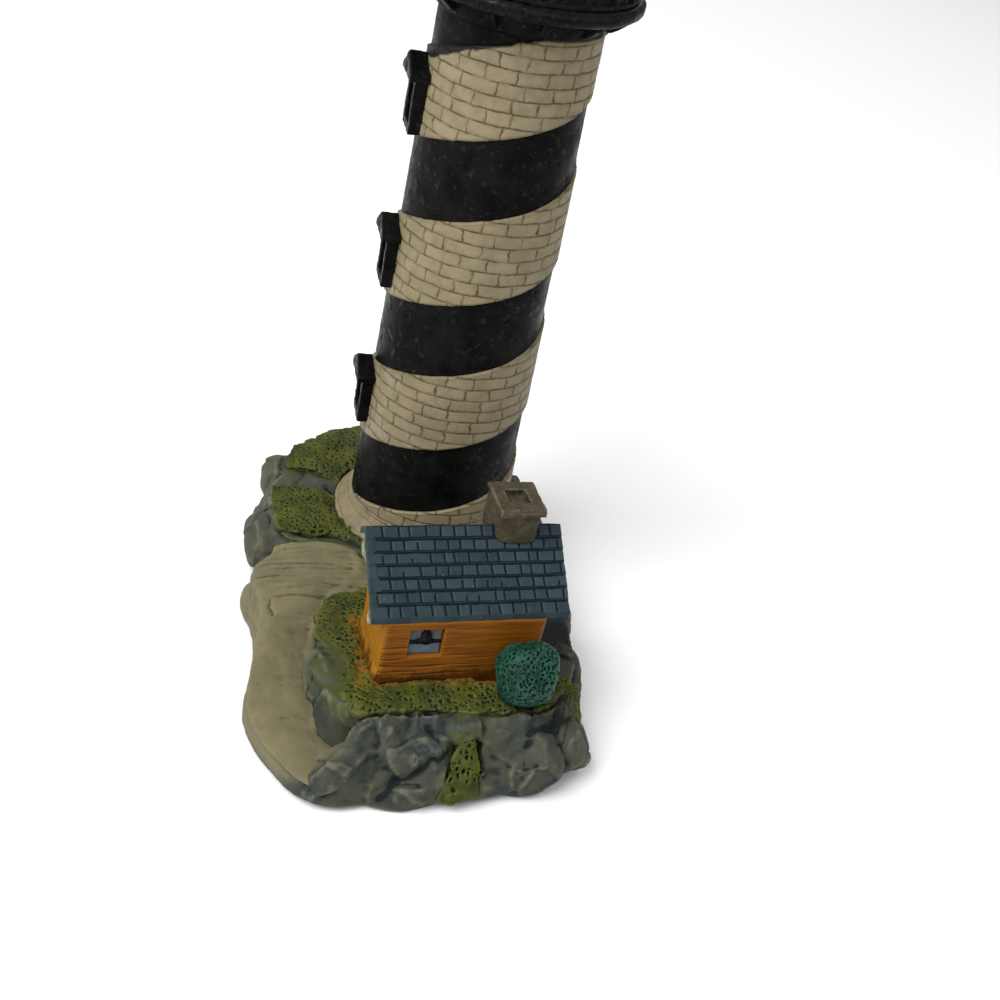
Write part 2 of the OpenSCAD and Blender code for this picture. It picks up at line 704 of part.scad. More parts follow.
module lantern_glazing() {
    color(lamp_yellow) translate([0, 0, glass_z]) cylinder(r = glass_r, h = glass_h);
}

module lantern_bars() {
    bar_w = 0.55;
    bar_t = 0.7;
    ring_t = 0.6;
    ring_h = 0.5;
    r_in = glass_r + fit_gap / 2;
    color(black_paint) {
        for (z = [glass_z, dome_z - ring_h, glass_z + glass_h / 2 - ring_h / 2])
            translate([0, 0, z]) rotate_extrude() translate([r_in, 0]) square([ring_t, ring_h]);
        for (i = [0:bar_count - 1]) rotate(i * 360 / bar_count)
            translate([r_in, -bar_w / 2, glass_z + ring_h / 2])
                cube([bar_t, bar_w, glass_h - ring_h]);
    }
}

// Domed roof with a drip edge
module lantern_roof() {
    steps = 10;
    color(black_paint) rotate_extrude() polygon(concat(
        [[0, dome_z], [roof_eave_r, dome_z], [roof_eave_r, dome_z + 0.6]],
        [for (i = [0:steps]) let (a = 80 * i / steps)
            [(roof_eave_r - 0.9) * cos(a), dome_z + 1 + (dome_h - 1) * sin(a) / sin(80)]],
        [[0, dome_z + dome_h]]
    ));
}

module lantern_finial() {
    top = dome_z + dome_h;
    neck = 0.7;
    steps = 12;
    tip_a = 80;
    color(black_paint) rotate_extrude() polygon(concat(
        [[0, top], [ball_r * 0.75, top], [ball_r * 0.55, top + neck]],
        [for (i = [1:steps]) let (a = mix(-65, tip_a, i / steps))
            [ball_r * cos(a), top + neck + ball_r * (0.9 + sin(a))]],
        [[ball_r * cos(tip_a), top + neck + ball_r * 1.9 + rod_h],
            [0, top + neck + ball_r * 1.9 + rod_h]]
    ));
}

// Places children in the cottage's own frame, at height z
module on_cottage(z) {
    translate([cottage_at[0], cottage_at[1], z]) rotate(cottage_turn)
        translate([wall_shift, 0, 0]) children();
}

// Height of the roof's top plane at distance y from the ridge
function roof_top(y) = ridge_z - roof_slope * abs(y);

// Front of the wall's section: lapped boards from the eaves down to the seat
function boards() = [for (i = [board_count - 1:-1:0]) each [
    [board_step - ridge_in, (i + 1) * board_h], [-ridge_in, i * board_h]]];

module cottage_walls() {
    back = [[back_y, 0], [back_y, roof_top(back_y) - roof_t - seat_z]];
    gable = [[0, ridge_z - roof_t - seat_z]];
    color(wall_orange) on_cottage(seat_z) difference() {
        rotate([90, 0, 90]) translate([0, 0, -wall_l / 2]) linear_extrude(wall_l)
            polygon(concat(back, gable, boards()));
        translate([pane_x - wall_shift - pane_w / 2, -ridge_in - 1, pane_z + seat_d])
            cube([pane_w, pane_d + 1, pane_h]);
        translate([wall_l / 2 - 0.5, door_y - door_w / 2, -1])
            cube([2, door_w, door_h + seat_d + 1]);
    }
}

// Roof with lapped shingle courses on the long front slope and a short slope behind
module cottage_roof() {
    run = ridge_in + eave_out;
    rear = back_y + eave_out;
    lap = run / course_count;
    top = [for (i = [0:course_count - 1]) each [
        [i * lap - run, roof_top(run - i * lap)],
        [(i + 1) * lap - run, roof_top(run - (i + 1) * lap)
            - (i == course_count - 1 ? 0 : course_step)]]];
    color(slate_blue) translate([cottage_at[0], cottage_at[1], 0]) rotate(cottage_turn)
        rotate([90, 0, 90]) translate([0, 0, -roof_l / 2]) linear_extrude(roof_l)
            polygon(concat([[-run, roof_top(run) - roof_t]], top, [[rear, roof_top(rear)],
                [rear, roof_top(rear) - roof_t], [0, ridge_z - roof_t]]));
}

// Pair of boards under the roof's verge, end = -1 for the left gable and 1 for the right
module barge_boards(end) {
    board_t = 0.6;
    board_d = 1.1;
    run = ridge_in + eave_out - 0.3;
    rear = back_y + eave_out - 0.3;
    low_z = roof_t + board_d / 2;
    x = end * (roof_l / 2 - 0.2 - board_t / 2);
    color(cream) translate([cottage_at[0], cottage_at[1], 0]) rotate(cottage_turn)
        rotate([90, 0, 90]) translate([0, 0, x - board_t / 2]) linear_extrude(board_t)
            polygon([[-run, roof_top(run) - roof_t], [-run, roof_top(run) - low_z],
                [0, ridge_z - roof_t - board_d], [rear, roof_top(rear) - low_z],
                [rear, roof_top(rear) - roof_t], [0, ridge_z - roof_t]]);
}

// Chimney with a bowed front: it rises behind the back wall and rests on the roof in front
module chimney_stack() {
    rear = back_y + eave_out + fit_gap;
    wall = back_y + fit_gap;
    ahead = -2 * stack_d;
    color(stack_taupe) translate([cottage_at[0], cottage_at[1], 0]) rotate(cottage_turn)
        difference() {
            translate([chimney_at[0], chimney_at[1], plateau_z])
                linear_extrude(ridge_z + stack_h - plateau_z) polygon(concat(
                    [[stack_w / 2, stack_d / 2], [-stack_w / 2, stack_d / 2]],
                    [for (a = [-90:15:90])
                        [stack_w / 2 * sin(a), -stack_d / 2 + stack_bow * (1 - cos(a))]]
                ));
            rotate([90, 0, 90]) translate([0, 0, -roof_l / 2]) linear_extrude(roof_l)
                polygon([[0, ridge_z], [rear, roof_top(rear)],
                    [rear, roof_top(rear) - roof_t - fit_gap],
                    [wall, roof_top(rear) - roof_t - fit_gap], [wall, 0], [ahead, 0],
                    [ahead, roof_top(ahead)]]);
        }
}

module chimney_cap() {
    w = stack_w + 2 * cap_out;
    d = stack_d + 2 * cap_out;
    chamfer = 0.35;
    color(stack_taupe) translate([cottage_at[0], cottage_at[1], 0]) rotate(cottage_turn)
        translate([chimney_at[0], chimney_at[1], ridge_z + stack_h]) difference() {
            intersection() {
                translate([-w / 2, -d / 2, 0]) cube([w, d, cap_t]);
                rotate([90, 0, 90]) translate([0, 0, -w]) linear_extrude(2 * w)
                    polygon([[-d / 2, 0], [d / 2, 0], [d / 2, cap_t - chamfer],
                        [d / 2 - chamfer, cap_t], [chamfer - d / 2, cap_t],
                        [-d / 2, cap_t - chamfer]]);
            }
            translate([-flue_w / 2, -flue_w / 2, cap_t - flue_d])
                cube([flue_w, flue_w, flue_d + 1]);
        }
}

// Back of the window's recess, in the cottage's frame
module in_window(depth) {
    on_cottage(plateau_z + pane_z)
        translate([pane_x - wall_shift, -ridge_in + pane_d - depth, 0]) children();
}

module cottage_window_pane() {
    color(pane_blue) in_window(0.35) translate([-pane_w / 2 + fit_gap / 2, 0, fit_gap / 2])
        cube([pane_w - fit_gap, 0.35, pane_h - fit_gap]);
}

// Meeting rail, with an upright bar in the upper sash
module cottage_window_bars() {
    bar_t = 0.3;
    color(black_paint) in_window(0.35 + bar_t) {
        translate([-pane_w / 2 + fit_gap / 2, 0, pane_h / 2 - sash_w / 2])
            cube([pane_w - fit_gap, bar_t, sash_w]);
        translate([-sash_w / 2, 0, pane_h / 2])
            cube([sash_w, bar_t, pane_h / 2 - fit_gap / 2]);
    }
}

module cottage_door() {
    color(door_brown) on_cottage(seat_z)
        translate([wall_l / 2 - 0.5, door_y - door_w / 2 + fit_gap / 2, 0])
            cube([0.8, door_w - fit_gap, door_h + seat_d - fit_gap]);
}

felt_pad();
rock_base();
footpath();
landing();
left_crag();
middle_crag();
right_crag();
step_stone();
back_turf();
left_turf();
cottage_turf();
front_turf();
gully_turf();
edge_turf();
bush();
tower_foot();
tower_shaft();
brick_spiral();
window_frame(0);  // lower_window_frame
window_frame(1);  // middle_window_frame
window_frame(2);  // upper_window_frame
window_pane(0);  // lower_window_pane
window_pane(1);  // middle_window_pane
window_pane(2);  // upper_window_pane
window_hood(0);  // lower_window_hood
window_hood(1);  // middle_window_hood
window_hood(2);  // upper_window_hood
gallery_corbel();
gallery_deck();
gallery_parapet();
watch_room();
lantern_deck();
lantern_curb();
lantern_glazing();
lantern_bars();
lantern_roof();
lantern_finial();
cottage_walls();
cottage_roof();
barge_boards(-1);  // left_barge_boards
barge_boards(1);  // right_barge_boards
chimney_stack();
chimney_cap();
cottage_window_pane();
cottage_window_bars();
cottage_door();
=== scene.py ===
"""Looks of a cast and hand-painted lighthouse figurine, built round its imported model.

Shapes are worked out in millimetres, in the row's frame, and handed over in metres.
"""

import itertools
import logging
import math
from collections.abc import Callable, Sequence
from dataclasses import dataclass
from enum import Enum
from typing import ClassVar

import bmesh
import bpy
import numpy as np
from bpy.types import Material, Mesh, Node, NodeTree, Object
from mathutils import Matrix, Vector
from mathutils.bvhtree import BVHTree


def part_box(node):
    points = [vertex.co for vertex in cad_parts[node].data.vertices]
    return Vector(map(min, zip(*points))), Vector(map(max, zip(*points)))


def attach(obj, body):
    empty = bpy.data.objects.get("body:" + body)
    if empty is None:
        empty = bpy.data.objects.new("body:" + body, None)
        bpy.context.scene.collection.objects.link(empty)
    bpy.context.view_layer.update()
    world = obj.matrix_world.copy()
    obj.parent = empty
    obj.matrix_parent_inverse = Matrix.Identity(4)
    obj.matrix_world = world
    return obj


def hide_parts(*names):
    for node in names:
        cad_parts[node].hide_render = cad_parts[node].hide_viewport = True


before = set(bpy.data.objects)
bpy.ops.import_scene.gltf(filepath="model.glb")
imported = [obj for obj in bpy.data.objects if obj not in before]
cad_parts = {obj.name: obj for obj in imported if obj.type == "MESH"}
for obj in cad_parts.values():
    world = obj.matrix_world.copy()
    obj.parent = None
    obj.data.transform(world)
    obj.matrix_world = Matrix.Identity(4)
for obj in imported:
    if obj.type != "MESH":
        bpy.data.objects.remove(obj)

LOG = logging.getLogger("lighthouse")
MM = 0.001
SEED = 1874
WELD = 1e-4
LOWEST = 0.1
Array = np.ndarray
Point = tuple[float, float, float]
Line = tuple[Point, ...]
Colour = tuple[float, float, float]
Relief = Callable[[Array, Array], Array]


class Body(Enum):
    """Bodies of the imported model."""

    ROOT = "root"


class Slot(Enum):
    """Material slots of the record."""

    ROCK = "rock"
    PATH = "path"
    TURF = "turf"
    BUSH = "bush"
    BRICK = "cream_brick"
    BLACK = "black_paint"
    LAMP = "lantern_yellow"
    BOARDS = "orange_wall"
    SLATES = "slate_roof"
    CHIMNEY = "chimney"
    TRIM = "white_trim"
    PANE = "window_blue"
    DOOR = "door_brown"


# Numbers


def ease(low: float, high: float, x: Array) -> Array:
    """Smooth step of x from 0 at low to 1 at high."""
    t = np.clip((x - low) / (high - low), 0.0, 1.0)
    return t * t * (3.0 - 2.0 * t)


def mix(a: Array, b: Array, m: Array) -> Array:
    """Blend of a and b, all of b where m is 1."""
    return a + (b - a) * m


@dataclass(frozen=True)
class Cells:
    """Distances to the nearest scattered points, the nearest one's mark and the way to it."""

    near: Array
    second: Array
    mark: Array
    away: Array


@dataclass(frozen=True)
class Noise:
    """Repeatable noise on points in millimetres."""

    seed: int = SEED

    def lot(self, cell: Array, salt: int) -> Array:
        """Even random number from 0 to 1 for each lattice cell.

        Args:
            cell: Whole-numbered lattice places, one row each.
            salt: Picks one of many independent draws.

        Returns:
            One number a row.
        """
        c = cell.astype(np.uint64)
        h = c[:, 0] * np.uint64(374761393) + c[:, 1] * np.uint64(668265263)
        h += c[:, 2] * np.uint64(2246822519) + np.uint64(self.seed * 7919 + salt * 104729)
        h &= np.uint64(0xFFFFFFFF)
        h = ((h ^ (h >> np.uint64(13))) * np.uint64(1274126177)) & np.uint64(0xFFFFFFFF)
        h = ((h ^ (h >> np.uint64(15))) * np.uint64(2654435761)) & np.uint64(0xFFFFFFFF)
        return ((h >> np.uint64(8)) & np.uint64(0xFFFFFF)).astype(float) / 0xFFFFFF

    def waves(self, points: Array, size: float, octaves: int = 1) -> Array:
        """Smooth noise, about -1 to 1.

        Args:
            points: Places in millimetres.
            size: Width of the largest bumps.
            octaves: Number of layers, each half as wide and half as high.

        Returns:
            One height a point.
        """
        total, share = np.zeros(len(points)), 1.0
        for octave in range(octaves):
            p = points / size * 2**octave + 31.7 * octave
            base = np.floor(p).astype(np.int64)
            f = p - base
            w = f * f * f * (f * (f * 6 - 15) + 10)
            value = np.zeros(len(points))
            for corner in itertools.product((0, 1), repeat=3):
                c = np.array(corner)
                weight = np.prod(np.where(c == 1, w, 1 - w), axis=1)
                lots = [self.lot(base + c, 7 * octave + k) * 2 - 1 for k in range(3)]
                value += weight * sum(lots[k] * (f[:, k] - c[k]) for k in range(3))
            total += value * share * 1.5
            share *= 0.5
        return total

    def cells(self, points: Array, size: float) -> Cells:
        """Scattered points round each place, one in every cube of the given size.

        Args:
            points: Places in millimetres.
            size: Side of the cubes.

        Returns:
            What the nearest scattered points are like from each place.
        """
        p = points / size
        base = np.floor(p).astype(np.int64)
        near = np.full(len(p), 9.0)
        second, mark, away = near.copy(), np.zeros(len(p)), np.zeros_like(p)
        for step in itertools.product((-1, 0, 1), repeat=3):
            cell = base + np.array(step)
            to = cell + np.stack([self.lot(cell, k) for k in (1, 2, 3)], axis=1) - p
            dist = np.sqrt((to * to).sum(1))
            won = dist < near
            second = np.where(won, near, np.minimum(second, dist))
            mark = np.where(won, self.lot(cell, 4), mark)
            away = np.where(won[:, None], to, away)
            near = np.minimum(near, dist)
        return Cells(near * size, second * size, mark, away * size)

    def bent(self, points: Array, by: float, size: float, salts: Sequence[int], octaves: int = 1) -> Array:
        """Points led astray, so that what is drawn on them comes out uneven.

        Args:
            points: Places in millimetres.
            by: How far they stray at most.
            size: Width of the bends.
            salts: Shift of the noise for X, Y and Z.
            octaves: Number of layers of noise.

        Returns:
            The new places.
        """
        return points + by * np.stack([self.waves(points + k, size, octaves) for k in salts], 1)


NOISE = Noise()


def near_lines(points: Array, lines: Sequence[Sequence[Point]]) -> Array:
    """Distance from points to broken lines.

    Args:
        points: Places in millimetres.
        lines: The corners of each line.

    Returns:
        The distance from each point to the nearest line, in millimetres.
    """
    best = np.full(len(points), 99.0)
    for line in lines:
        for a, b in zip(np.array(line[:-1], float), np.array(line[1:], float)):
            d = b - a
            t = np.clip(((points - a) @ d) / (d @ d), 0, 1)
            best = np.minimum(best, np.linalg.norm(points - a - t[:, None] * d, axis=1))
    return best


def away_from(points: Array, mesh: Mesh, reach: float) -> Array:
    """Distance from points to a mesh.

    Args:
        points: Places in millimetres.
        mesh: The mesh.
        reach: The largest distance that is looked for.

    Returns:
        The distance from each point to the mesh, or the reach, in millimetres.
    """
    tree = BVHTree.FromPolygons([v.co[:] for v in mesh.vertices], [f.vertices[:] for f in mesh.polygons])
    found = (tree.find_nearest(Vector(q), reach)[3] for q in points)
    return np.array([reach if d is None else d for d in found])


# Meshes


def read_vectors(owner: bpy.types.bpy_prop_collection, name: str) -> Array:
    """Vectors of a collection as an array.

    Args:
        owner: The vertices or normals of a mesh.
        name: Their property with three numbers.

    Returns:
        One row for each vertex.
    """
    flat = np.zeros(len(owner) * 3, np.float32)
    owner.foreach_get(name, flat)
    return flat.reshape(-1, 3).astype(float)


def read_points(mesh: Mesh) -> Array:
    """Vertex places of a mesh as an array."""
    return read_vectors(mesh.vertices, "co")


def read_normals(mesh: Mesh) -> Array:
    """Vertex normals of a mesh as an array."""
    return read_vectors(mesh.vertex_normals, "vector")


def write_points(mesh: Mesh, points: Array) -> None:
    """Puts new vertex places into a mesh."""
    mesh.vertices.foreach_set("co", points.astype(np.float32).ravel())
    mesh.update()


def store(mesh: Mesh, name: str, values: Array) -> None:
    """Keeps one number a vertex on the mesh, for its material."""
    layer = mesh.attributes.get(name) or mesh.attributes.new(name, "FLOAT", "POINT")
    layer.data.foreach_set("value", values.astype(np.float32))


def neighbour_mean(mesh: Mesh, values: Array, passes: int) -> Array:
    """Values blurred over the mesh's edges.

    Args:
        mesh: The mesh whose edges join the values.
        values: One row or number a vertex.
        passes: How often each value is replaced by its neighbours' mean.

    Returns:
        The blurred values, in the same form.
    """
    pairs = np.zeros(len(mesh.edges) * 2, np.int64)
    mesh.edges.foreach_get("vertices", pairs)
    a, b = pairs[0::2], pairs[1::2]
    n = len(mesh.vertices)
    count = np.maximum(np.bincount(a, minlength=n) + np.bincount(b, minlength=n), 1)
    rows = values.reshape(n, -1).astype(float)
    for _ in range(passes):
        cols = []
        for k in range(rows.shape[1]):
            total = np.bincount(a, rows[b, k], n) + np.bincount(b, rows[a, k], n)
            cols.append(0.5 * rows[:, k] + 0.5 * total / count)
        rows = np.stack(cols, axis=1)
    return rows.reshape(values.shape)


def crests(mesh: Mesh, passes: int, height: float) -> Array:
    """How far each vertex stands above its blurred surroundings.

    Args:
        mesh: The mesh.
        passes: How far the surroundings are blurred.
        height: Height that counts as a full crest, or depth that counts as a full hollow.

    Returns:
        Numbers from 0 in a hollow to 1 on a crest, 0.5 where level.
    """
    points = read_points(mesh)
    proud = ((points - neighbour_mean(mesh, points, passes)) * read_normals(mesh)).sum(1)
    return np.clip(0.5 + 0.5 * proud / height, 0, 1)


def tube_mesh(name: str, points: Array) -> Mesh:
    """Mesh over rings of points.

    Args:
        name: Name of the new mesh.
        points: Places with the shape (rings, columns, 3), in millimetres.

    Returns:
        The mesh, in which the last column joins the first, sealed where a ring is one point.
    """
    rows, cols = points.shape[:2]
    j, i = np.meshgrid(np.arange(cols), np.arange(rows - 1))
    k = (j + 1) % cols
    quads = np.stack([i * cols + j, i * cols + k, (i + 1) * cols + k, (i + 1) * cols + j], -1)
    mesh = bpy.data.meshes.new(name)
    mesh.from_pydata(points.reshape(-1, 3).tolist(), [], quads.reshape(-1, 4).tolist())
    mesh.update()
    return sealed(mesh)


def rings(profile: Array, columns: int) -> Array:
    """Profile turned round +Z.

    Args:
        profile: Radius and height of each ring.
        columns: Number of points on a ring.

    Returns:
        Places with the shape (rings, columns, 3).
    """
    turn = np.linspace(0, 2 * math.pi, columns, endpoint=False)
    r, z = profile[:, 0][:, None], profile[:, 1][:, None]
    return np.stack([r * np.cos(turn), r * np.sin(turn), z + 0 * turn], -1)


def lathe(name: str, profile: Array, columns: int) -> Mesh:
    """Closed mesh turned round +Z.

    Args:
        name: Name of the new mesh.
        profile: Radius and height of each ring, its start and end on the axis or joined.
        columns: Number of points round the axis.

    Returns:
        The mesh in millimetres, poles closed.
    """
    return tube_mesh(name, rings(profile, columns))


def sealed(mesh: Mesh) -> Mesh:
    """Merges doubled vertices and turns every face outwards.

    Args:
        mesh: The mesh, which is changed.

    Returns:
        The same mesh.
    """
    bm = bmesh.new()
    bm.from_mesh(mesh)
    bmesh.ops.remove_doubles(bm, verts=bm.verts, dist=WELD)
    bmesh.ops.recalc_face_normals(bm, faces=bm.faces)
    bm.to_mesh(mesh)
    bm.free()
    return mesh


def from_bmesh(name: str, bm: bmesh.types.BMesh) -> Mesh:
    """New mesh of a bmesh, which is freed.

    Args:
        name: Name of the new mesh.
        bm: The bmesh.

    Returns:
        The mesh.
    """
    mesh = bpy.data.meshes.new(name)
    bm.to_mesh(mesh)
    bm.free()
    return mesh


def ball(name: str, divisions: int, radius: float) -> Mesh:
    """Ball of even triangles round the origin.

    Args:
        name: Name of the new mesh.
        divisions: How often its triangles are divided.
        radius: Its radius.

    Returns:
        The closed mesh.
    """
    bm = bmesh.new()
    bmesh.ops.create_icosphere(bm, subdivisions=divisions, radius=radius)
    return from_bmesh(name, bm)


def dense(profile: Sequence[Sequence[float]], step: float) -> Array:
    """Points along a broken line.

    Args:
        profile: The line's corners.
        step: Largest distance between neighbouring points.

    Returns:
        The corners and the points between them.
    """
    out = [np.array(profile[0], float)]
    for a, b in zip(np.array(profile[:-1], float), np.array(profile[1:], float)):
        n = max(1, math.ceil(float(np.linalg.norm(b - a)) / step))
        out += [a + (b - a) * k / n for k in range(1, n + 1)]
    return np.array(out)


def rounded_plan(
    low: tuple[float, float], high: tuple[float, float], radius: float, step: float
) -> tuple[Array, Array]:
    """Outline of a rectangle with rounded corners.

    Args:
        low: Its lowest corner.
        high: Its highest corner.
        radius: Radius of its corners.
        step: Largest distance between neighbouring points.

    Returns:
        The points, counter-clockwise, and the way out from each.
    """
    places, ways = [], []
    inner = ((high[0], high[1]), (low[0], high[1]), (low[0], low[1]), (high[0], low[1]))
    for quarter, (x, y) in enumerate(inner):
        turn = np.radians(90 * quarter + np.linspace(0, 90, 9))
        way = np.stack([np.cos(turn), np.sin(turn)], 1)
        inward = -np.sign([way[4, 0], way[4, 1]]) * radius
        places.append(np.array([x, y]) + inward + way * radius)
        ways.append(way)
    rim, way = np.concatenate(places), np.concatenate(ways)
    out, out_way = [], []
    for k in range(len(rim)):
        nxt = (k + 1) % len(rim)
        n = max(1, math.ceil(float(np.linalg.norm(rim[nxt] - rim[k])) / step))
        share = np.arange(n)[:, None] / n
        out.append(mix(rim[k], rim[nxt], share))
        out_way.append(mix(way[k], way[nxt], share))
    return np.concatenate(out), np.concatenate(out_way)


@dataclass(frozen=True)
class Boulder:
    """Chiselled lump of rock: its middle, half lengths, turn in degrees and number of struck faces."""

    centre: Point
    size: Point
    turn: float = 0.0
    cuts: int = 0

    def mesh(self) -> Mesh:
        """Makes the closed lump.

        Returns:
            The mesh of the lump, in millimetres.
        """
        mesh = ball("lump", 4, 1)
        p = read_points(mesh)
        lots = np.random.default_rng(int(abs(self.centre[0] * 97 + self.centre[1] * 13)) + self.cuts)
        for _ in range(self.cuts):
            n = lots.normal(size=3)
            n /= np.linalg.norm(n)
            over = np.maximum(p @ n - lots.uniform(0.68, 0.93), 0)
            p -= over[:, None] * n
        c, s = math.cos(math.radians(self.turn)), math.sin(math.radians(self.turn))
        turned = np.array([[c, s, 0], [-s, c, 0], [0, 0, 1]])
        write_points(mesh, (p * np.array(self.size)) @ turned + np.array(self.centre))
        return mesh


def plain_mesh(obj: Object) -> Mesh:
    """The object's mesh with its modifiers carried out."""
    graph = bpy.context.evaluated_depsgraph_get()
    return bpy.data.meshes.new_from_object(obj.evaluated_get(graph), depsgraph=graph)


def new_object(name: str, mesh: Mesh) -> Object:
    """Object at the origin that shows a mesh.

    Args:
        name: Name of the object.
        mesh: Its mesh.

    Returns:
        The object, in the scene.
    """
    obj = bpy.data.objects.new(name, mesh)
    bpy.context.scene.collection.objects.link(obj)
    return obj


def cad_mesh(node: str) -> Mesh:
    """Merged copy of a CAD node's mesh.

    Args:
        node: Name of the node.

    Returns:
        The closed mesh in millimetres.
    """
    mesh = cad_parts[node].data.copy()
    mesh.materials.clear()
    mesh.transform(Matrix.Scale(1 / MM, 4))
    return sealed(mesh)


def joined(meshes: Sequence[Mesh]) -> Mesh:
    """One mesh that holds several.

    Args:
        meshes: The meshes, each left as it is.

    Returns:
        The new mesh.
    """
    bm = bmesh.new()
    for mesh in meshes:
        bm.from_mesh(mesh)
    return from_bmesh("joined", bm)


def worn_relief(size: float, height: float, octaves: int = 3) -> Relief:
    """Relief of a worn mould.

    Args:
        size: Width of the largest bumps in millimetres.
        height: Height of the bumps.
        octaves: Number of layers of noise.

    Returns:
        The relief, for a casting.
    """
    return lambda p, n: NOISE.waves(p, size, octaves) * height


@dataclass(frozen=True)
class Casting:
    """Skin of cast resin: one closed surface over the shapes, softened, with a relief."""

    voxel: float
    soften: int = 2
    relief: Relief | None = None
    crest_passes: int = 4
    crest_height: float = 0.08

    def skin(self, meshes: Sequence[Mesh]) -> Mesh:
        """Casts some closed meshes in one.

        Args:
            meshes: Closed shapes in millimetres, which may cross.

        Returns:
            The cast surface in millimetres, with its crests kept for the paint.
        """
        blank = new_object("blank", joined(meshes))
        remesh = blank.modifiers.new("skin", "REMESH")
        remesh.mode, remesh.voxel_size, remesh.adaptivity = "VOXEL", self.voxel, 0.0
        smooth = blank.modifiers.new("soften", "SMOOTH")
        smooth.factor, smooth.iterations = 0.5, self.soften
        mesh = plain_mesh(blank)
        bpy.data.objects.remove(blank)
        if self.relief is not None:
            points, normals = read_points(mesh), read_normals(mesh)
            points = points + normals * self.relief(points, normals)[:, None]
            points[:, 2] = np.maximum(points[:, 2], LOWEST)
            write_points(mesh, points)
        store(mesh, "relief", crests(mesh, self.crest_passes, self.crest_height))
        return mesh


def hand_over(
    name: str, mesh: Mesh, finish: Material, nodes: Sequence[str]
) -> None:
    """Makes a finished piece of the object, which rides on the only body.

    Args:
        name: Name of the piece.
        mesh: Its shape in millimetres, with its relief stored.
        finish: Its material.
        nodes: CAD nodes that it stands for.
    """
    mesh.transform(Matrix.Scale(MM, 4))
    mesh.name = name
    mesh.materials.clear()
    mesh.materials.append(finish)
    mesh.polygons.foreach_set("use_smooth", [True] * len(mesh.polygons))
    mesh.update()
    piece = new_object(name, mesh)
    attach(piece, Body.ROOT.value)
    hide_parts(*nodes)
    LOG.info("%s: %d faces, for %s", name, len(mesh.polygons), ", ".join(nodes))


# Node trees


class Wire:
    """An output of a node, on which sums can be written as on a number."""

    def __init__(self, net: "Net", socket: bpy.types.NodeSocket) -> None:
        """Keeps the tree and the socket."""
        self.net, self.socket = net, socket

    def __add__(self, other: "Wire | float") -> "Wire":
        """Sum."""
        return self.net.math("ADD", self, other)

    def __radd__(self, other: float) -> "Wire":
        """Sum with a number on the left."""
        return self.net.math("ADD", other, self)

    def __sub__(self, other: "Wire | float") -> "Wire":
        """Difference."""
        return self.net.math("SUBTRACT", self, other)

    def __rsub__(self, other: float) -> "Wire":
        """Difference from a number."""
        return self.net.math("SUBTRACT", other, self)

    def __mul__(self, other: "Wire | float") -> "Wire":
        """Product."""
        return self.net.math("MULTIPLY", self, other)

    def __truediv__(self, other: "Wire | float") -> "Wire":
        """Quotient."""
        return self.net.math("DIVIDE", self, other)

    def __rtruediv__(self, other: float) -> "Wire":
        """Number on the left divided by the wire."""
        return self.net.math("DIVIDE", other, self)


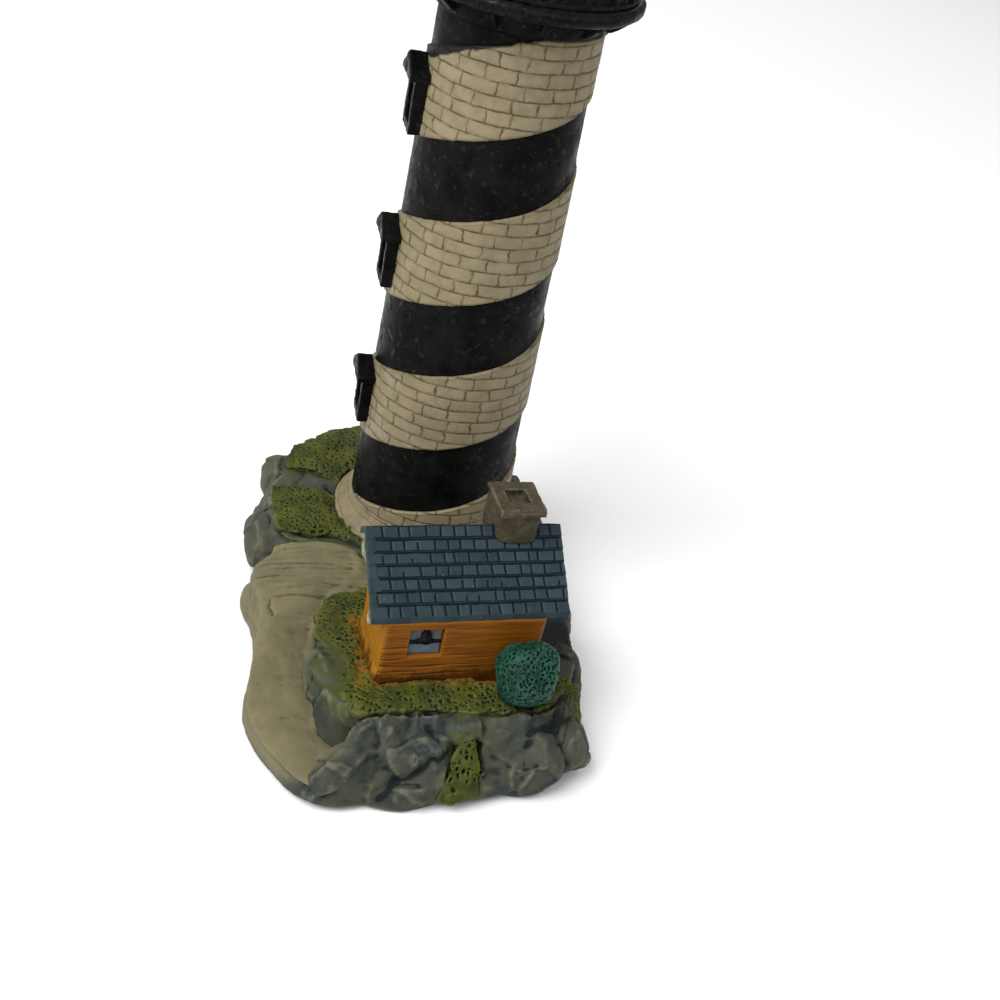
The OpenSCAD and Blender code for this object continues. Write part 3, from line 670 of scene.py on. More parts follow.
class Net:
    """A node tree and short ways to add to it."""

    def __init__(self, tree: NodeTree) -> None:
        """Keeps the tree."""
        self.tree = tree

    def put(self, socket: bpy.types.NodeSocket, value: object) -> None:
        """Joins a wire to an input, or sets the input's own value.

        Args:
            socket: The input.
            value: A wire, or a value of the input's kind.
        """
        if isinstance(value, Wire):
            self.tree.links.new(value.socket, socket)
        else:
            socket.default_value = value

    def add(self, kind: str, settings: dict | None = None, **inputs: object) -> Node:
        """Adds a node.

        Args:
            kind: The node's type name.
            settings: Properties of the node.
            inputs: Values or wires for its inputs, by name with _ for a space, or by
                number as i0, i1 and so on.

        Returns:
            The new node.
        """
        node = self.tree.nodes.new(kind)
        for key, value in (settings or {}).items():
            setattr(node, key, value)
        for key, value in inputs.items():
            numbered = key[0] == "i" and key[1:].isdigit()
            self.put(node.inputs[int(key[1:]) if numbered else key.replace("_", " ")], value)
        return node

    def out(self, node: Node, output: str | int = 0) -> Wire:
        """Wire from one of a node's outputs."""
        return Wire(self, node.outputs[output])

    def math(self, operation: str, *values: "Wire | float") -> Wire:
        """Result of a Math node."""
        inputs = {f"i{k}": v for k, v in enumerate(values)}
        return self.out(self.add("ShaderNodeMath", {"operation": operation}, **inputs))

    def step(
        self, value: Wire, low: Wire | float, high: Wire | float, a: float = 0.0, b: float = 1.0
    ) -> Wire:
        """Smooth step of a value.

        Args:
            value: The value.
            low: Where the step starts.
            high: Where it ends.
            a: The result up to its start.
            b: The result past its end.

        Returns:
            The stepped value.
        """
        node = self.add("ShaderNodeMapRange", {"interpolation_type": "SMOOTHSTEP"})
        for key, v in zip(("Value", "From Min", "From Max", "To Min", "To Max"), (value, low, high, a, b)):
            self.put(node.inputs[key], v)
        return self.out(node)

    def blend(self, share: Wire | float, a: object, b: object) -> Wire:
        """Colour a where share is 0 and b where it is 1."""
        settings = {"data_type": "RGBA", "clamp_factor": True}
        return self.out(self.add("ShaderNodeMix", settings, i0=share, i6=rgba(a), i7=rgba(b)), 2)

    def noise(self, point: Wire, scale: float, detail: float = 2.0) -> Wire:
        """Cloudy noise at a point, about 0 to 1."""
        return self.out(self.add("ShaderNodeTexNoise", None, Vector=point, Scale=scale, Detail=detail))

    def lot(self, point: Wire) -> Wire:
        """Even random number from 0 to 1 for a point."""
        return self.out(self.add("ShaderNodeTexWhiteNoise", {"noise_dimensions": "3D"}, Vector=point))

    def vector(self, x: Wire | float, y: Wire | float, z: Wire | float = 0.0) -> Wire:
        """Vector from three numbers."""
        return self.out(self.add("ShaderNodeCombineXYZ", None, X=x, Y=y, Z=z))

    def parts(self, vector: Wire) -> tuple[Wire, Wire, Wire]:
        """The three numbers of a vector."""
        node = self.add("ShaderNodeSeparateXYZ", None, Vector=vector)
        return self.out(node, 0), self.out(node, 1), self.out(node, 2)

    def stretch(self, vector: Wire, by: Sequence[float]) -> Wire:
        """Vector with each of its numbers multiplied."""
        settings = {"operation": "MULTIPLY"}
        return self.out(self.add("ShaderNodeVectorMath", settings, i0=vector, i1=tuple(by)))

    def attribute(self, name: str) -> Wire:
        """A mesh's stored values in a material."""
        return self.out(self.add("ShaderNodeAttribute", {"attribute_name": name}), "Fac")

    def keep(self, geometry: Wire, values: Sequence[tuple[str, Wire]]) -> Wire:
        """Stores values on a mesh under their names, before its points are moved.

        Args:
            geometry: The mesh.
            values: Names and values for each point.

        Returns:
            The mesh with the named values.
        """
        kind = {"data_type": "FLOAT", "domain": "POINT"}
        for name, value in values:
            node = self.add("GeometryNodeStoreNamedAttribute", kind, Name=name, Geometry=geometry)
            self.put(node.inputs["Value"], value)
            geometry = self.out(node)
        return geometry

    def finish(self, geometry: Wire, paint: Wire, sink: Node) -> None:
        """Ends a geometry tree: plain meshes with a material.

        Args:
            geometry: What the tree has made.
            paint: The material.
            sink: The tree's output node.
        """
        real = self.out(self.add("GeometryNodeRealizeInstances", None, Geometry=geometry))
        painted = self.add("GeometryNodeSetMaterial", None, Geometry=real, Material=paint)
        self.put(sink.inputs["Geometry"], self.out(painted))

    def group(self, tree: NodeTree, **inputs: object) -> Node:
        """Places a group.

        Args:
            tree: The group.
            inputs: Values or wires for its inputs, by name with _ for a space.

        Returns:
            The new node.
        """
        node = self.tree.nodes.new("ShaderNodeGroup")
        node.node_tree = tree
        for key, value in inputs.items():
            self.put(node.inputs[key.replace("_", " ")], value)
        return node


FLOAT, COLOUR, VECTOR = "NodeSocketFloat", "NodeSocketColor", "NodeSocketVector"
WHOLE, PAINT, SHAPE = "NodeSocketInt", "NodeSocketMaterial", "NodeSocketGeometry"


def rgba(value: object) -> object:
    """A colour with its alpha, or a wire as it is."""
    return (*value, 1.0) if isinstance(value, tuple) and len(value) == 3 else value


def new_group(
    name: str, kind: str, inputs: Sequence[tuple[str, str, object]], outputs: Sequence[tuple[str, str]]
) -> tuple[Net, dict[str, Wire], Node]:
    """Starts a node group with named sockets.

    Args:
        name: Name of the group.
        kind: ShaderNodeTree or GeometryNodeTree.
        inputs: Name, socket type and default value of each input.
        outputs: Name and socket type of each output.

    Returns:
        The tree's net, its inputs as wires by name, and its output node.
    """
    tree = bpy.data.node_groups.new(name, kind)
    for label, socket_type, value in inputs:
        socket = tree.interface.new_socket(name=label, in_out="INPUT", socket_type=socket_type)
        if value is not None:
            socket.default_value = value
    for label, socket_type in outputs:
        tree.interface.new_socket(name=label, in_out="OUTPUT", socket_type=socket_type)
    net = Net(tree)
    source = tree.nodes.new("NodeGroupInput")
    sink = tree.nodes.new("NodeGroupOutput")
    return net, {label: Wire(net, source.outputs[label]) for label, _, _ in inputs}, sink


@dataclass(frozen=True)
class Bricklaying:
    """Courses of bricks in running bond: their sizes and the joints between them, on any tree."""

    course: float = 1.8
    brick: float = 4.4
    seed: float = 0.0

    def joint(self, net: Net, level: Wire, along: Wire, given: Sequence[Wire] = ()) -> tuple[Wire, Wire]:
        """Joints of the running bond.

        Args:
            net: The tree.
            level: Height in courses.
            along: Way along the wall in bricks.
            given: The tree's own inputs for a course, a brick and the seed, if it has them.

        Returns:
            Distance to the nearest joint in millimetres, and a random tone for each brick.
        """
        course, brick, seed = given or (self.course, self.brick, self.seed)
        row = net.math("FLOOR", level)
        rise = level - row
        lot = net.out(net.add("ShaderNodeTexWhiteNoise", {"noise_dimensions": "1D"}, W=row + seed))
        shifted = along + lot * 0.35 + net.math("MODULO", row, 2.0) * 0.5
        column = net.math("FLOOR", shifted)
        run = shifted - column
        place = net.vector(row + seed, column)
        own = net.out(net.add("ShaderNodeTexWhiteNoise", {"noise_dimensions": "2D"}, Vector=place))
        near_row = net.math("MINIMUM", rise, 1.0 - rise) * course
        near_end = net.math("ABSOLUTE", run - 0.35 - own * 0.3) * brick
        return net.math("MINIMUM", near_row, near_end), own


@dataclass(frozen=True)
class Slating:
    """Courses of slates: sizes and the lines cut between them, on any tree."""

    length: float = 27.3
    run: float = 9.65
    courses: int = 7
    slate: float = 1.95
    line: float = 0.15
    ledge: float = 0.16
    margin: float = 1.1
    seed: float = 5.0

    def draw(self, net: Net, salt: float, row: Wire, column: Wire | float = 0.0) -> Wire:
        """Random number for a row, or for a place in it."""
        return net.lot(net.vector(row, column, self.seed + salt))

    def cut(self, net: Net, level: Wire, x: Wire, chip: Wire, soft: float) -> tuple[Wire, Wire]:
        """Lines between the slates.

        Args:
            net: The tree.
            level: Height on the slope in courses.
            x: Place along the roof, its middle at 0.
            chip: Small unevenness of the cuts.
            soft: Width over which a cut fades.

        Returns:
            A mask of the lines, and a random tone for each slate.
        """
        lap = self.run / self.courses * 1.27
        row = net.math("FLOOR", level)
        rise = level - row
        along = x / self.slate + row * 0.5 + self.draw(net, 1.0, row) * 0.5
        column = net.math("FLOOR", along)
        spot = 0.5 + (self.draw(net, 2.0, row, column) - 0.5) * 0.42
        tilt = (self.draw(net, 3.0, row, column) - 0.5) * 0.12
        near = net.math("ABSOLUTE", along - column - spot + (rise - 0.5) * tilt) * self.slate
        reach = net.step(self.draw(net, 4.0, row, column), 0.0, 0.2, 0.5, 1.0)
        slit = net.step(near + chip, self.line + soft, self.line - soft) * net.step(rise, reach, reach - 0.1)
        ledge = net.math("MINIMUM", rise, 1.0 - rise) * lap
        line = net.step(ledge + chip, self.ledge + soft, self.ledge - soft) * net.step(level, 0.4, 0.6)
        left, right = x + self.length / 2, self.length / 2 - x
        edge = self.margin + (self.draw(net, 6.0, row) - 0.5) * 0.9
        framed = net.step(left - edge, 0.0, 0.2) * net.step(right, 0.1, 0.3)
        tone = self.draw(net, 5.0, row, net.math("FLOOR", along - spot))
        return net.math("MAXIMUM", slit, line) * framed, tone


class Effects:
    """Shader groups that several paints share."""

    def __init__(self) -> None:
        """Builds each group once."""
        self.place = self._place()
        self.mottle = self._mottle()
        self.wash = self._wash()
        self.grain = self._grain()

    def _place(self) -> NodeTree:
        """Point on the object in millimetres, stretched along its axes.

        Returns:
            The group's tree.
        """
        net, wires, sink = new_group(
            "Place in millimetres",
            "ShaderNodeTree",
            [("Stretch", VECTOR, (1.0, 1.0, 1.0))],
            [("Point", VECTOR)],
        )
        place = net.out(net.add("ShaderNodeTexCoord"), "Object")
        scaled = net.stretch(place, (1 / MM,) * 3)
        node = net.add("ShaderNodeVectorMath", {"operation": "MULTIPLY"}, i0=scaled, i1=wires["Stretch"])
        net.put(sink.inputs["Point"], net.out(node))
        return net.tree

    def _mottle(self) -> NodeTree:
        """Patchy hand-mixed paint between two colours.

        Returns:
            The group's tree.
        """
        net, wires, sink = new_group(
            "Mottled paint",
            "ShaderNodeTree",
            [
                ("Point", VECTOR, None),
                ("Size", FLOAT, 3.0),
                ("Contrast", FLOAT, 0.6),
                ("Paint", COLOUR, (0.5, 0.5, 0.5, 1)),
                ("Second Paint", COLOUR, (0.4, 0.4, 0.4, 1)),
            ],
            [("Color", COLOUR), ("Mask", FLOAT)],
        )
        scale = 1.0 / wires["Size"]
        node = net.add("ShaderNodeTexNoise", None, Vector=wires["Point"], Detail=5.0, Roughness=0.62)
        net.put(node.inputs["Scale"], scale)
        mask = net.step(net.out(node), 0.36, 0.64)
        mask = net.math("ADD", 0.5, (mask - 0.5) * wires["Contrast"])
        net.put(sink.inputs["Color"], net.blend(mask, wires["Paint"], wires["Second Paint"]))
        net.put(sink.inputs["Mask"], mask)
        return net.tree

    def _wash(self) -> NodeTree:
        """Dark wash left in hollows and pale paint brushed over crests.

        Returns:
            The group's tree.
        """
        net, wires, sink = new_group(
            "Wash and dry brush",
            "ShaderNodeTree",
            [
                ("Point", VECTOR, None),
                ("Color", COLOUR, (0.5, 0.5, 0.5, 1)),
                ("Hollow", COLOUR, (0.02, 0.02, 0.02, 1)),
                ("Crest", COLOUR, (0.7, 0.7, 0.7, 1)),
                ("Relief", FLOAT, 0.5),
                ("Wash", FLOAT, 0.8),
                ("Brush", FLOAT, 0.5),
            ],
            [("Color", COLOUR), ("Hollow Mask", FLOAT)],
        )
        ragged = (net.noise(wires["Point"], 1.7, 4.0) - 0.5) * 0.22
        level = wires["Relief"] + ragged
        hollow = net.step(level, 0.5, 0.26) * wires["Wash"]
        crest = net.step(level, 0.54, 0.8) * wires["Brush"]
        washed = net.blend(hollow, wires["Color"], wires["Hollow"])
        net.put(sink.inputs["Color"], net.blend(crest, washed, wires["Crest"]))
        net.put(sink.inputs["Hollow Mask"], hollow)
        return net.tree

    def _grain(self) -> NodeTree:
        """Fine unevenness of a painted casting: brush film, tiny bubbles and specks.

        Returns:
            The group's tree.
        """
        net, wires, sink = new_group(
            "Cast skin",
            "ShaderNodeTree",
            [
                ("Point", VECTOR, None),
                ("Grain", FLOAT, 0.25),
                ("Bubbles", FLOAT, 0.5),
                ("Bubble Size", FLOAT, 0.9),
            ],
            [("Height", FLOAT), ("Pits", FLOAT)],
        )
        film = net.add("ShaderNodeTexNoise", None, Vector=wires["Point"], Detail=4.0, Roughness=0.6)
        net.put(film.inputs["Scale"], 1.0 / wires["Grain"])
        dots = net.add("ShaderNodeTexVoronoi", {"feature": "F1"}, Vector=wires["Point"])
        net.put(dots.inputs["Scale"], 1.0 / wires["Bubble Size"])
        rare = net.step(net.noise(wires["Point"], 0.45, 2.0), 0.5, 0.62)
        pits = net.step(net.out(dots, "Distance"), 0.24, 0.1) * rare * wires["Bubbles"]
        net.put(sink.inputs["Height"], net.out(film) * 0.35 - pits)
        net.put(sink.inputs["Pits"], pits)
        return net.tree


class Paint(Net):
    """A material in the making: its node tree, its shader and the place on the object."""

    def __init__(self, name: str, effects: Effects, stretch: Point) -> None:
        """Starts the material.

        Args:
            name: Name of the material.
            effects: The shared shader groups.
            stretch: How the pattern's point is stretched along the axes.
        """
        self.material = bpy.data.materials.new(name)
        self.material.use_nodes = True
        super().__init__(self.material.node_tree)
        self.shader = self.material.node_tree.nodes["Principled BSDF"]
        self.effects = effects
        self.point = self.out(self.group(effects.place, Stretch=stretch))
        self.set("Specular IOR Level", 0.1)

    def set(self, name: str, value: object) -> None:
        """Sets one of the shader's own sockets, or joins a wire to it."""
        self.put(self.shader.inputs[name], rgba(value))

    def patches(self, scale: float, detail: float, *step: float) -> Wire:
        """Noisy patches: the smooth step of a noise over the object."""
        return self.step(self.noise(self.point, scale, detail), *step)

    def mottle(self, size: float, contrast: float, a: Colour, b: Colour) -> Wire:
        """Patchy colour between two paints.

        Args:
            size: Width of the patches in millimetres.
            contrast: How far they differ.
            a: The first paint.
            b: The second paint.

        Returns:
            The colour.
        """
        node = self.group(self.effects.mottle, Point=self.point, Size=size, Contrast=contrast)
        self.put(node.inputs["Paint"], rgba(a))
        self.put(node.inputs["Second Paint"], rgba(b))
        return self.out(node, "Color")

    def wash(self, colour: Wire, hollow: Colour, crest: Colour, wash: float, brush: float) -> Wire:
        """Colour with a dark wash in hollows and dry-brushed crests.

        Args:
            colour: The colour below.
            hollow: Colour of the wash.
            crest: Colour of the dry brush.
            wash: Strength of the wash.
            brush: Strength of the dry brush.

        Returns:
            The colour.
        """
        node = self.group(self.effects.wash, Point=self.point, Wash=wash, Brush=brush)
        self.put(node.inputs["Color"], colour)
        self.put(node.inputs["Hollow"], rgba(hollow))
        self.put(node.inputs["Crest"], rgba(crest))
        self.put(node.inputs["Relief"], self.attribute("relief"))
        return self.out(node, "Color")

    def grain(self, grain: float, bubbles: float, size: float) -> tuple[Wire, Wire]:
        """The fine unevenness of the casting.

        Args:
            grain: Width of the paint film's grain in millimetres.
            bubbles: Depth of the tiny bubbles.
            size: How far the bubbles are apart in millimetres.

        Returns:
            The height, and a mask of the bubbles' pits.
        """
        node = self.group(
            self.effects.grain, Point=self.point, Grain=grain, Bubbles=bubbles, Bubble_Size=size
        )
        return self.out(node, "Height"), self.out(node, "Pits")

    def bump(self, height: Wire, depth: float) -> None:
        """Disturbs the surface.

        Args:
            height: The height, about 0 to 1.
            depth: What a height of 1 comes to in millimetres.
        """
        node = self.add("ShaderNodeBump", None, Strength=1.0, Distance=depth * MM)
        self.put(node.inputs["Height"], height)
        self.put(self.shader.inputs["Normal"], self.out(node))


class Finish:
    """A finish of the figurine: its title, and how its patterns are stretched along the axes."""

    title: ClassVar[str]
    stretch: ClassVar[Point] = (1.0, 1.0, 1.0)

    def build(self, effects: Effects) -> Material:
        """Makes the material.

        Args:
            effects: The shared shader groups.

        Returns:
            The finished material.
        """
        paint = Paint(self.title, effects, self.stretch)
        self.coat(paint)
        return paint.material

    def coat(self, paint: Paint) -> None:
        """Lays the colours, the gloss and the fine relief on a bare material.

        Args:
            paint: The bare material.
        """
        raise NotImplementedError


@dataclass(frozen=True)
class StonePaint(Finish):
    """Grey rock: two greys, blue-black wash that also carries painted shade, tan dry brush and the path's
    overspray.
    """

    title: ClassVar[str] = "Rock paint"
    cool: Colour = (0.026, 0.033, 0.031)
    warm: Colour = (0.05, 0.052, 0.035)
    hollow: Colour = (0.005, 0.008, 0.009)
    crest: Colour = (0.14, 0.136, 0.094)
    path: Colour = (0.13, 0.117, 0.07)
    moss: Colour = (0.045, 0.054, 0.014)
    roughness: float = 0.62

    def coat(self, paint: Paint) -> None:
        """Lays two greys, the path's overspray, seeped moss, wash with painted shade, and brush.

        Args:
            paint: The bare material.
        """
        colour = paint.mottle(8.0, 1.15, self.cool, self.warm)
        colour = paint.blend(paint.attribute("path"), colour, self.path)
        seep = paint.attribute("turf") * paint.patches(0.9, 3.0, 0.35, 0.6)
        colour = paint.blend(seep, colour, self.moss)
        # The wash also lays the painted shade stored in the relief beside the cottage and along the creases.
        paint.set("Base Color", paint.wash(colour, self.hollow, self.crest, 0.9, 0.55))
        height, _ = paint.grain(0.5, 0.5, 1.6)
        paint.set("Roughness", paint.step(height, -0.2, 0.4, 0.5, self.roughness))
        paint.bump(height, 0.12)


@dataclass(frozen=True)
class PathPaint(Finish):
    """Worn path: tan-grey with faint strokes along its steps and a few dark specks."""

    title: ClassVar[str] = "Path paint"
    tan: Colour = (0.148, 0.132, 0.07)
    grey: Colour = (0.112, 0.1, 0.055)
    hollow: Colour = (0.035, 0.028, 0.016)
    crest: Colour = (0.19, 0.168, 0.1)
    roughness: float = 0.6

    def coat(self, paint: Paint) -> None:
        """Lays two tans, dark specks, wash and brush.

        Args:
            paint: The bare material.
        """
        colour = paint.mottle(6.0, 0.9, self.tan, self.grey)
        specks = paint.patches(1.1, 3.0, 0.7, 0.76) * 0.6
        colour = paint.blend(specks, colour, self.hollow)
        paint.set("Base Color", paint.wash(colour, self.hollow, self.crest, 0.7, 0.3))
        paint.set("Roughness", self.roughness)
        paint.bump(paint.grain(0.6, 0.5, 2.4)[0], 0.08)


@dataclass(frozen=True)
class TurfPaint(Finish):
    """Stippled turf: olive with black-green pits, yellow tips and some wall colour."""

    title: ClassVar[str] = "Turf paint"
    dark: Colour = (0.026, 0.034, 0.006)
    light: Colour = (0.058, 0.062, 0.007)
    hollow: Colour = (0.003, 0.005, 0.001)
    crest: Colour = (0.115, 0.125, 0.028)
    spill: Colour = (0.15, 0.065, 0.006)
    rim: Colour = (0.032, 0.037, 0.02)

    def coat(self, paint: Paint) -> None:
        """Lays olive, wash and brush, dark pits, the mats' grey rims and the walls' spill.

        Args:
            paint: The bare material.
        """
        colour = paint.mottle(3.5, 1.0, self.dark, self.light)
        colour = paint.wash(colour, self.hollow, self.crest, 1.0, 0.45)
        height, pits = paint.grain(0.25, 1.0, 0.42)
        colour = paint.blend(pits * 0.8, colour, self.hollow)
        spill = paint.attribute("spill") * paint.patches(1.3, 3.0, 0.4, 0.6)
        rim = paint.attribute("rim") * paint.patches(1.1, 3.0, 0.25, 0.55)
        colour = paint.blend(rim * 0.85, colour, self.rim)
        paint.set("Base Color", paint.blend(spill, colour, self.spill))
        paint.set("Roughness", 0.55)
        paint.bump(height, 0.14)


@dataclass(frozen=True)
class LeafPaint(Finish):
    """Bush: deep teal with black-green pits and mint ridges."""

    title: ClassVar[str] = "Leaf paint"
    deep: Colour = (0.0025, 0.016, 0.01)
    bright: Colour = (0.004, 0.029, 0.018)
    hollow: Colour = (0.0005, 0.004, 0.0025)
    crest: Colour = (0.022, 0.085, 0.055)

    def coat(self, paint: Paint) -> None:
        """Lays two teals, wash and brush.

        Args:
            paint: The bare material.
        """
        colour = paint.mottle(1.6, 1.0, self.deep, self.bright)
        paint.set("Base Color", paint.wash(colour, self.hollow, self.crest, 1.0, 0.6))
        paint.set("Roughness", 0.42)
        paint.bump(paint.grain(0.2, 0.4, 0.5)[0], 0.06)


@dataclass(frozen=True)
class BrickPaint(Finish):
    """Cream brickwork with tan joints that follow the piece's own courses."""

    title: ClassVar[str] = "Cream brick paint"
    cream: Colour = (0.215, 0.18, 0.108)
    dull: Colour = (0.17, 0.14, 0.082)
    joint: Colour = (0.07, 0.05, 0.024)
    black: Colour = (0.004, 0.004, 0.0038)
    crest: Colour = (0.26, 0.222, 0.138)
    laying: Bricklaying = Bricklaying()

    def coat(self, paint: Paint) -> None:
        """Lays cream, wash and brush, the joints and the black run over the edge.

        Args:
            paint: The bare material.
        """
        colour = paint.mottle(2.4, 0.9, self.cream, self.dull)
        colour = paint.wash(colour, self.joint, self.crest, 0.3, 0.12)
        worn = paint.patches(0.6, 3.0, 0.3, 0.6, 0.45, 1.0)
        frayed = (paint.noise(paint.point, 2.5, 3.0) - 0.5) * 0.1
        near, _ = self.laying.joint(paint, paint.attribute("level"), paint.attribute("along"))
        joint = paint.step(near + frayed, 0.18, 0.08) * worn * paint.attribute("carved")
        colour = paint.blend(joint, colour, self.joint)
        paint.set("Base Color", paint.blend(paint.attribute("blacked"), colour, self.black))
        paint.set("Roughness", 0.5)
        paint.set("Specular IOR Level", 0.16)
        paint.bump(paint.grain(0.5, 0.4, 1.0)[0], 0.06)


@dataclass(frozen=True)
class BlackPaint(Finish):
    """Satin black with bubble pits and pale specks, partly rubbed paint and partly painted highlights of
    gloss.
    """

    title: ClassVar[str] = "Black paint"
    black: Colour = (0.002, 0.002, 0.0019)
    grey: Colour = (0.0055, 0.0056, 0.0052)
    scuff_and_glint: Colour = (0.05, 0.048, 0.036)
    hollow: Colour = (0.001, 0.001, 0.001)
    crest: Colour = (0.016, 0.016, 0.014)

    def coat(self, paint: Paint) -> None:
        """Lays satin black, pale specks of rubbed paint and painted highlight, wash and brush, with blotches
        of gloss.

        Args:
            paint: The bare material.
        """
        colour = paint.mottle(4.0, 1.0, self.black, self.grey)
        height, _ = paint.grain(0.35, 1.0, 0.75)
        # Pale specks: rubbed paint, and painted highlights that stand in for glints on the gloss.
        specks = paint.patches(2.6, 2.0, 0.71, 0.76) * 0.7
        colour = paint.blend(specks, colour, self.scuff_and_glint)
        paint.set("Base Color", paint.wash(colour, self.hollow, self.crest, 0.6, 0.5))
        rough = paint.patches(0.35, 4.0, 0.35, 0.7, 0.3, 0.52)
        paint.set("Roughness", rough - specks * 0.15)
        paint.set("Specular IOR Level", paint.patches(1.1, 5.0, 0.58, 0.72, 0.035, 0.17))
        paint.bump(height, 0.12)


@dataclass(frozen=True)
class SlatePaint(Finish):
    """Painted slates: grey-blue, each a little different, with pale flecks."""

    title: ClassVar[str] = "Slate paint"
    blue: Colour = (0.013, 0.026, 0.032)
    grey: Colour = (0.02, 0.032, 0.036)
    hollow: Colour = (0.0015, 0.005, 0.008)
    crest: Colour = (0.036, 0.056, 0.062)
    fleck: Colour = (0.25, 0.26, 0.24)
    slating: Slating = Slating()

    def coat(self, paint: Paint) -> None:
        """Lays blue-greys, a tone for each slate, flecks, wash and brush, and the cut lines.

        Args:
            paint: The bare material.
        """
        colour = paint.mottle(1.8, 1.0, self.blue, self.grey)
        chip = (paint.noise(paint.point, 3.0, 2.0) - 0.5) * 0.1
        edge, tone = self.slating.cut(paint, paint.attribute("level"), paint.attribute("along"), chip, 0.035)
        colour = paint.blend((tone - 0.5) * 0.5 + 0.2, colour, self.crest)
        flecks = paint.patches(2.2, 3.0, 0.735, 0.76) * 0.7
        colour = paint.blend(flecks, colour, self.fleck)
        colour = paint.wash(colour, self.hollow, self.crest, 0.5, 0.12)
        paint.set("Base Color", paint.blend(edge * paint.attribute("up"), colour, self.hollow))
        paint.set("Roughness", paint.patches(0.8, 3.0, 0.3, 0.7, 0.42, 0.6))
        paint.bump(paint.grain(0.3, 0.5, 0.8)[0], 0.08)


@dataclass(frozen=True)
class BoardPaint(Finish):
    """Orange-brown boards with dark strokes along the grain and painted light on the left gable."""

    title: ClassVar[str] = "Board paint"
    stretch: ClassVar[Point] = (0.16, 0.16, 1.7)
    orange: Colour = (0.185, 0.064, 0.004)
    brown: Colour = (0.12, 0.037, 0.002)
    hollow: Colour = (0.035, 0.012, 0.001)
    crest: Colour = (0.26, 0.1, 0.01)
    lit_gable: Colour = (0.25, 0.105, 0.006)

    def coat(self, paint: Paint) -> None:
        """Lays two browns along the grain, painted light on the left gable, wash and brush, and the darker
        foot.

        Args:
            paint: The bare material.
        """
        colour = paint.mottle(1.1, 0.9, self.orange, self.brown)
        # Painted light: the left gable is coloured lighter, as if lit from the left.
        colour = paint.blend(paint.attribute("gable"), colour, self.lit_gable)
        colour = paint.wash(colour, self.hollow, self.crest, 0.75, 0.35)
        # The walls are laid darker towards the bottom, where they meet the turf.
        paint.set("Base Color", paint.blend(paint.attribute("darker_foot") * 0.8, colour, self.hollow))
        paint.set("Roughness", 0.5)
        paint.bump(paint.grain(0.3, 0.2, 1.5)[0], 0.08)


@dataclass(frozen=True)
class FlatPaint(Finish):
    """Brushed paint on a small piece: two tones, a wash and a crest colour."""

    title: str
    tone: Colour
    second: Colour
    hollow: Colour
    crest: Colour
    size: float = 1.5
    roughness: float = 0.5

    def coat(self, paint: Paint) -> None:
        """Lays two tones, wash and brush.

        Args:
            paint: The bare material.
        """
        colour = paint.mottle(self.size, 1.0, self.tone, self.second)
        paint.set("Base Color", paint.wash(colour, self.hollow, self.crest, 0.7, 0.4))
        paint.set("Roughness", self.roughness)
        paint.bump(paint.grain(0.3, 0.4, 0.8)[0], 0.06)


@dataclass(frozen=True)
class PanePaint(Finish):
    """Painted window: pale blue below, dusky mauve above, brushed unevenly."""

    title: ClassVar[str] = "Window paint"
    blue: Colour = (0.085, 0.155, 0.2)
    mauve: Colour = (0.075, 0.075, 0.08)
    hollow: Colour = (0.006, 0.008, 0.012)
    crest: Colour = (0.14, 0.19, 0.22)
    sill: float = 17.9

    def coat(self, paint: Paint) -> None:
        """Lays blue below and mauve above, wash and brush.

        Args:
            paint: The bare material.
        """
        height = paint.parts(paint.point)[2] + (paint.noise(paint.point, 0.8, 3.0) - 0.5) * 1.2
        colour = paint.mottle(1.4, 0.3, self.blue, self.mauve)
        colour = paint.blend(paint.step(height, self.sill - 0.2, self.sill + 0.2) * 0.85, colour, self.mauve)
        paint.set("Base Color", paint.wash(colour, self.hollow, self.crest, 0.7, 0.4))
        paint.set("Roughness", 0.4)
        paint.bump(paint.grain(0.3, 0.3, 0.8)[0], 0.05)


@dataclass(frozen=True)
class Felt(Finish):
    """Green felt: matted fibres in two directions."""

    title: ClassVar[str] = "Felt"
    dark: Colour = (0.012, 0.03, 0.018)
    light: Colour = (0.03, 0.06, 0.038)

    def coat(self, paint: Paint) -> None:
        """Lays fibres in two directions.

        Args:
            paint: The bare material.
        """
        one = paint.noise(paint.stretch(paint.point, (9.0, 1.6, 3.0)), 1.0, 4.0)
        two = paint.noise(paint.stretch(paint.point, (1.7, 8.0, 3.0)), 1.0, 4.0)
        fibres = paint.math("MAXIMUM", one, two)
        paint.set("Base Color", paint.blend(paint.step(fibres, 0.42, 0.72), self.dark, self.light))
        paint.set("Roughness", 0.95)
        paint.set("Sheen Weight", 0.3)
        paint.bump(fibres, 0.15)


CREAM = FlatPaint(
    title="Cream trim",
    tone=(0.2, 0.18, 0.125),
    second=(0.1, 0.1, 0.085),
    hollow=(0.03, 0.03, 0.025),
    crest=(0.34, 0.32, 0.25),
)
TAUPE = FlatPaint(
    title="Chimney paint",
    tone=(0.056, 0.046, 0.028),
    second=(0.034, 0.027, 0.016),
    hollow=(0.006, 0.005, 0.003),
    crest=(0.15, 0.132, 0.088),
    size=2.0,
)
BROWN = FlatPaint(
    title="Door brown",
    tone=(0.06, 0.03, 0.014),
    second=(0.04, 0.02, 0.009),
    hollow=(0.01, 0.006, 0.003),
    crest=(0.1, 0.055, 0.028),
    size=0.8,
)
YELLOW = FlatPaint(
    title="Lamp yellow",
    tone=(0.75, 0.68, 0.36),
    second=(0.66, 0.58, 0.28),
    hollow=(0.3, 0.24, 0.1),
    crest=(0.85, 0.8, 0.5),
    size=1.2,
    roughness=0.25,
)


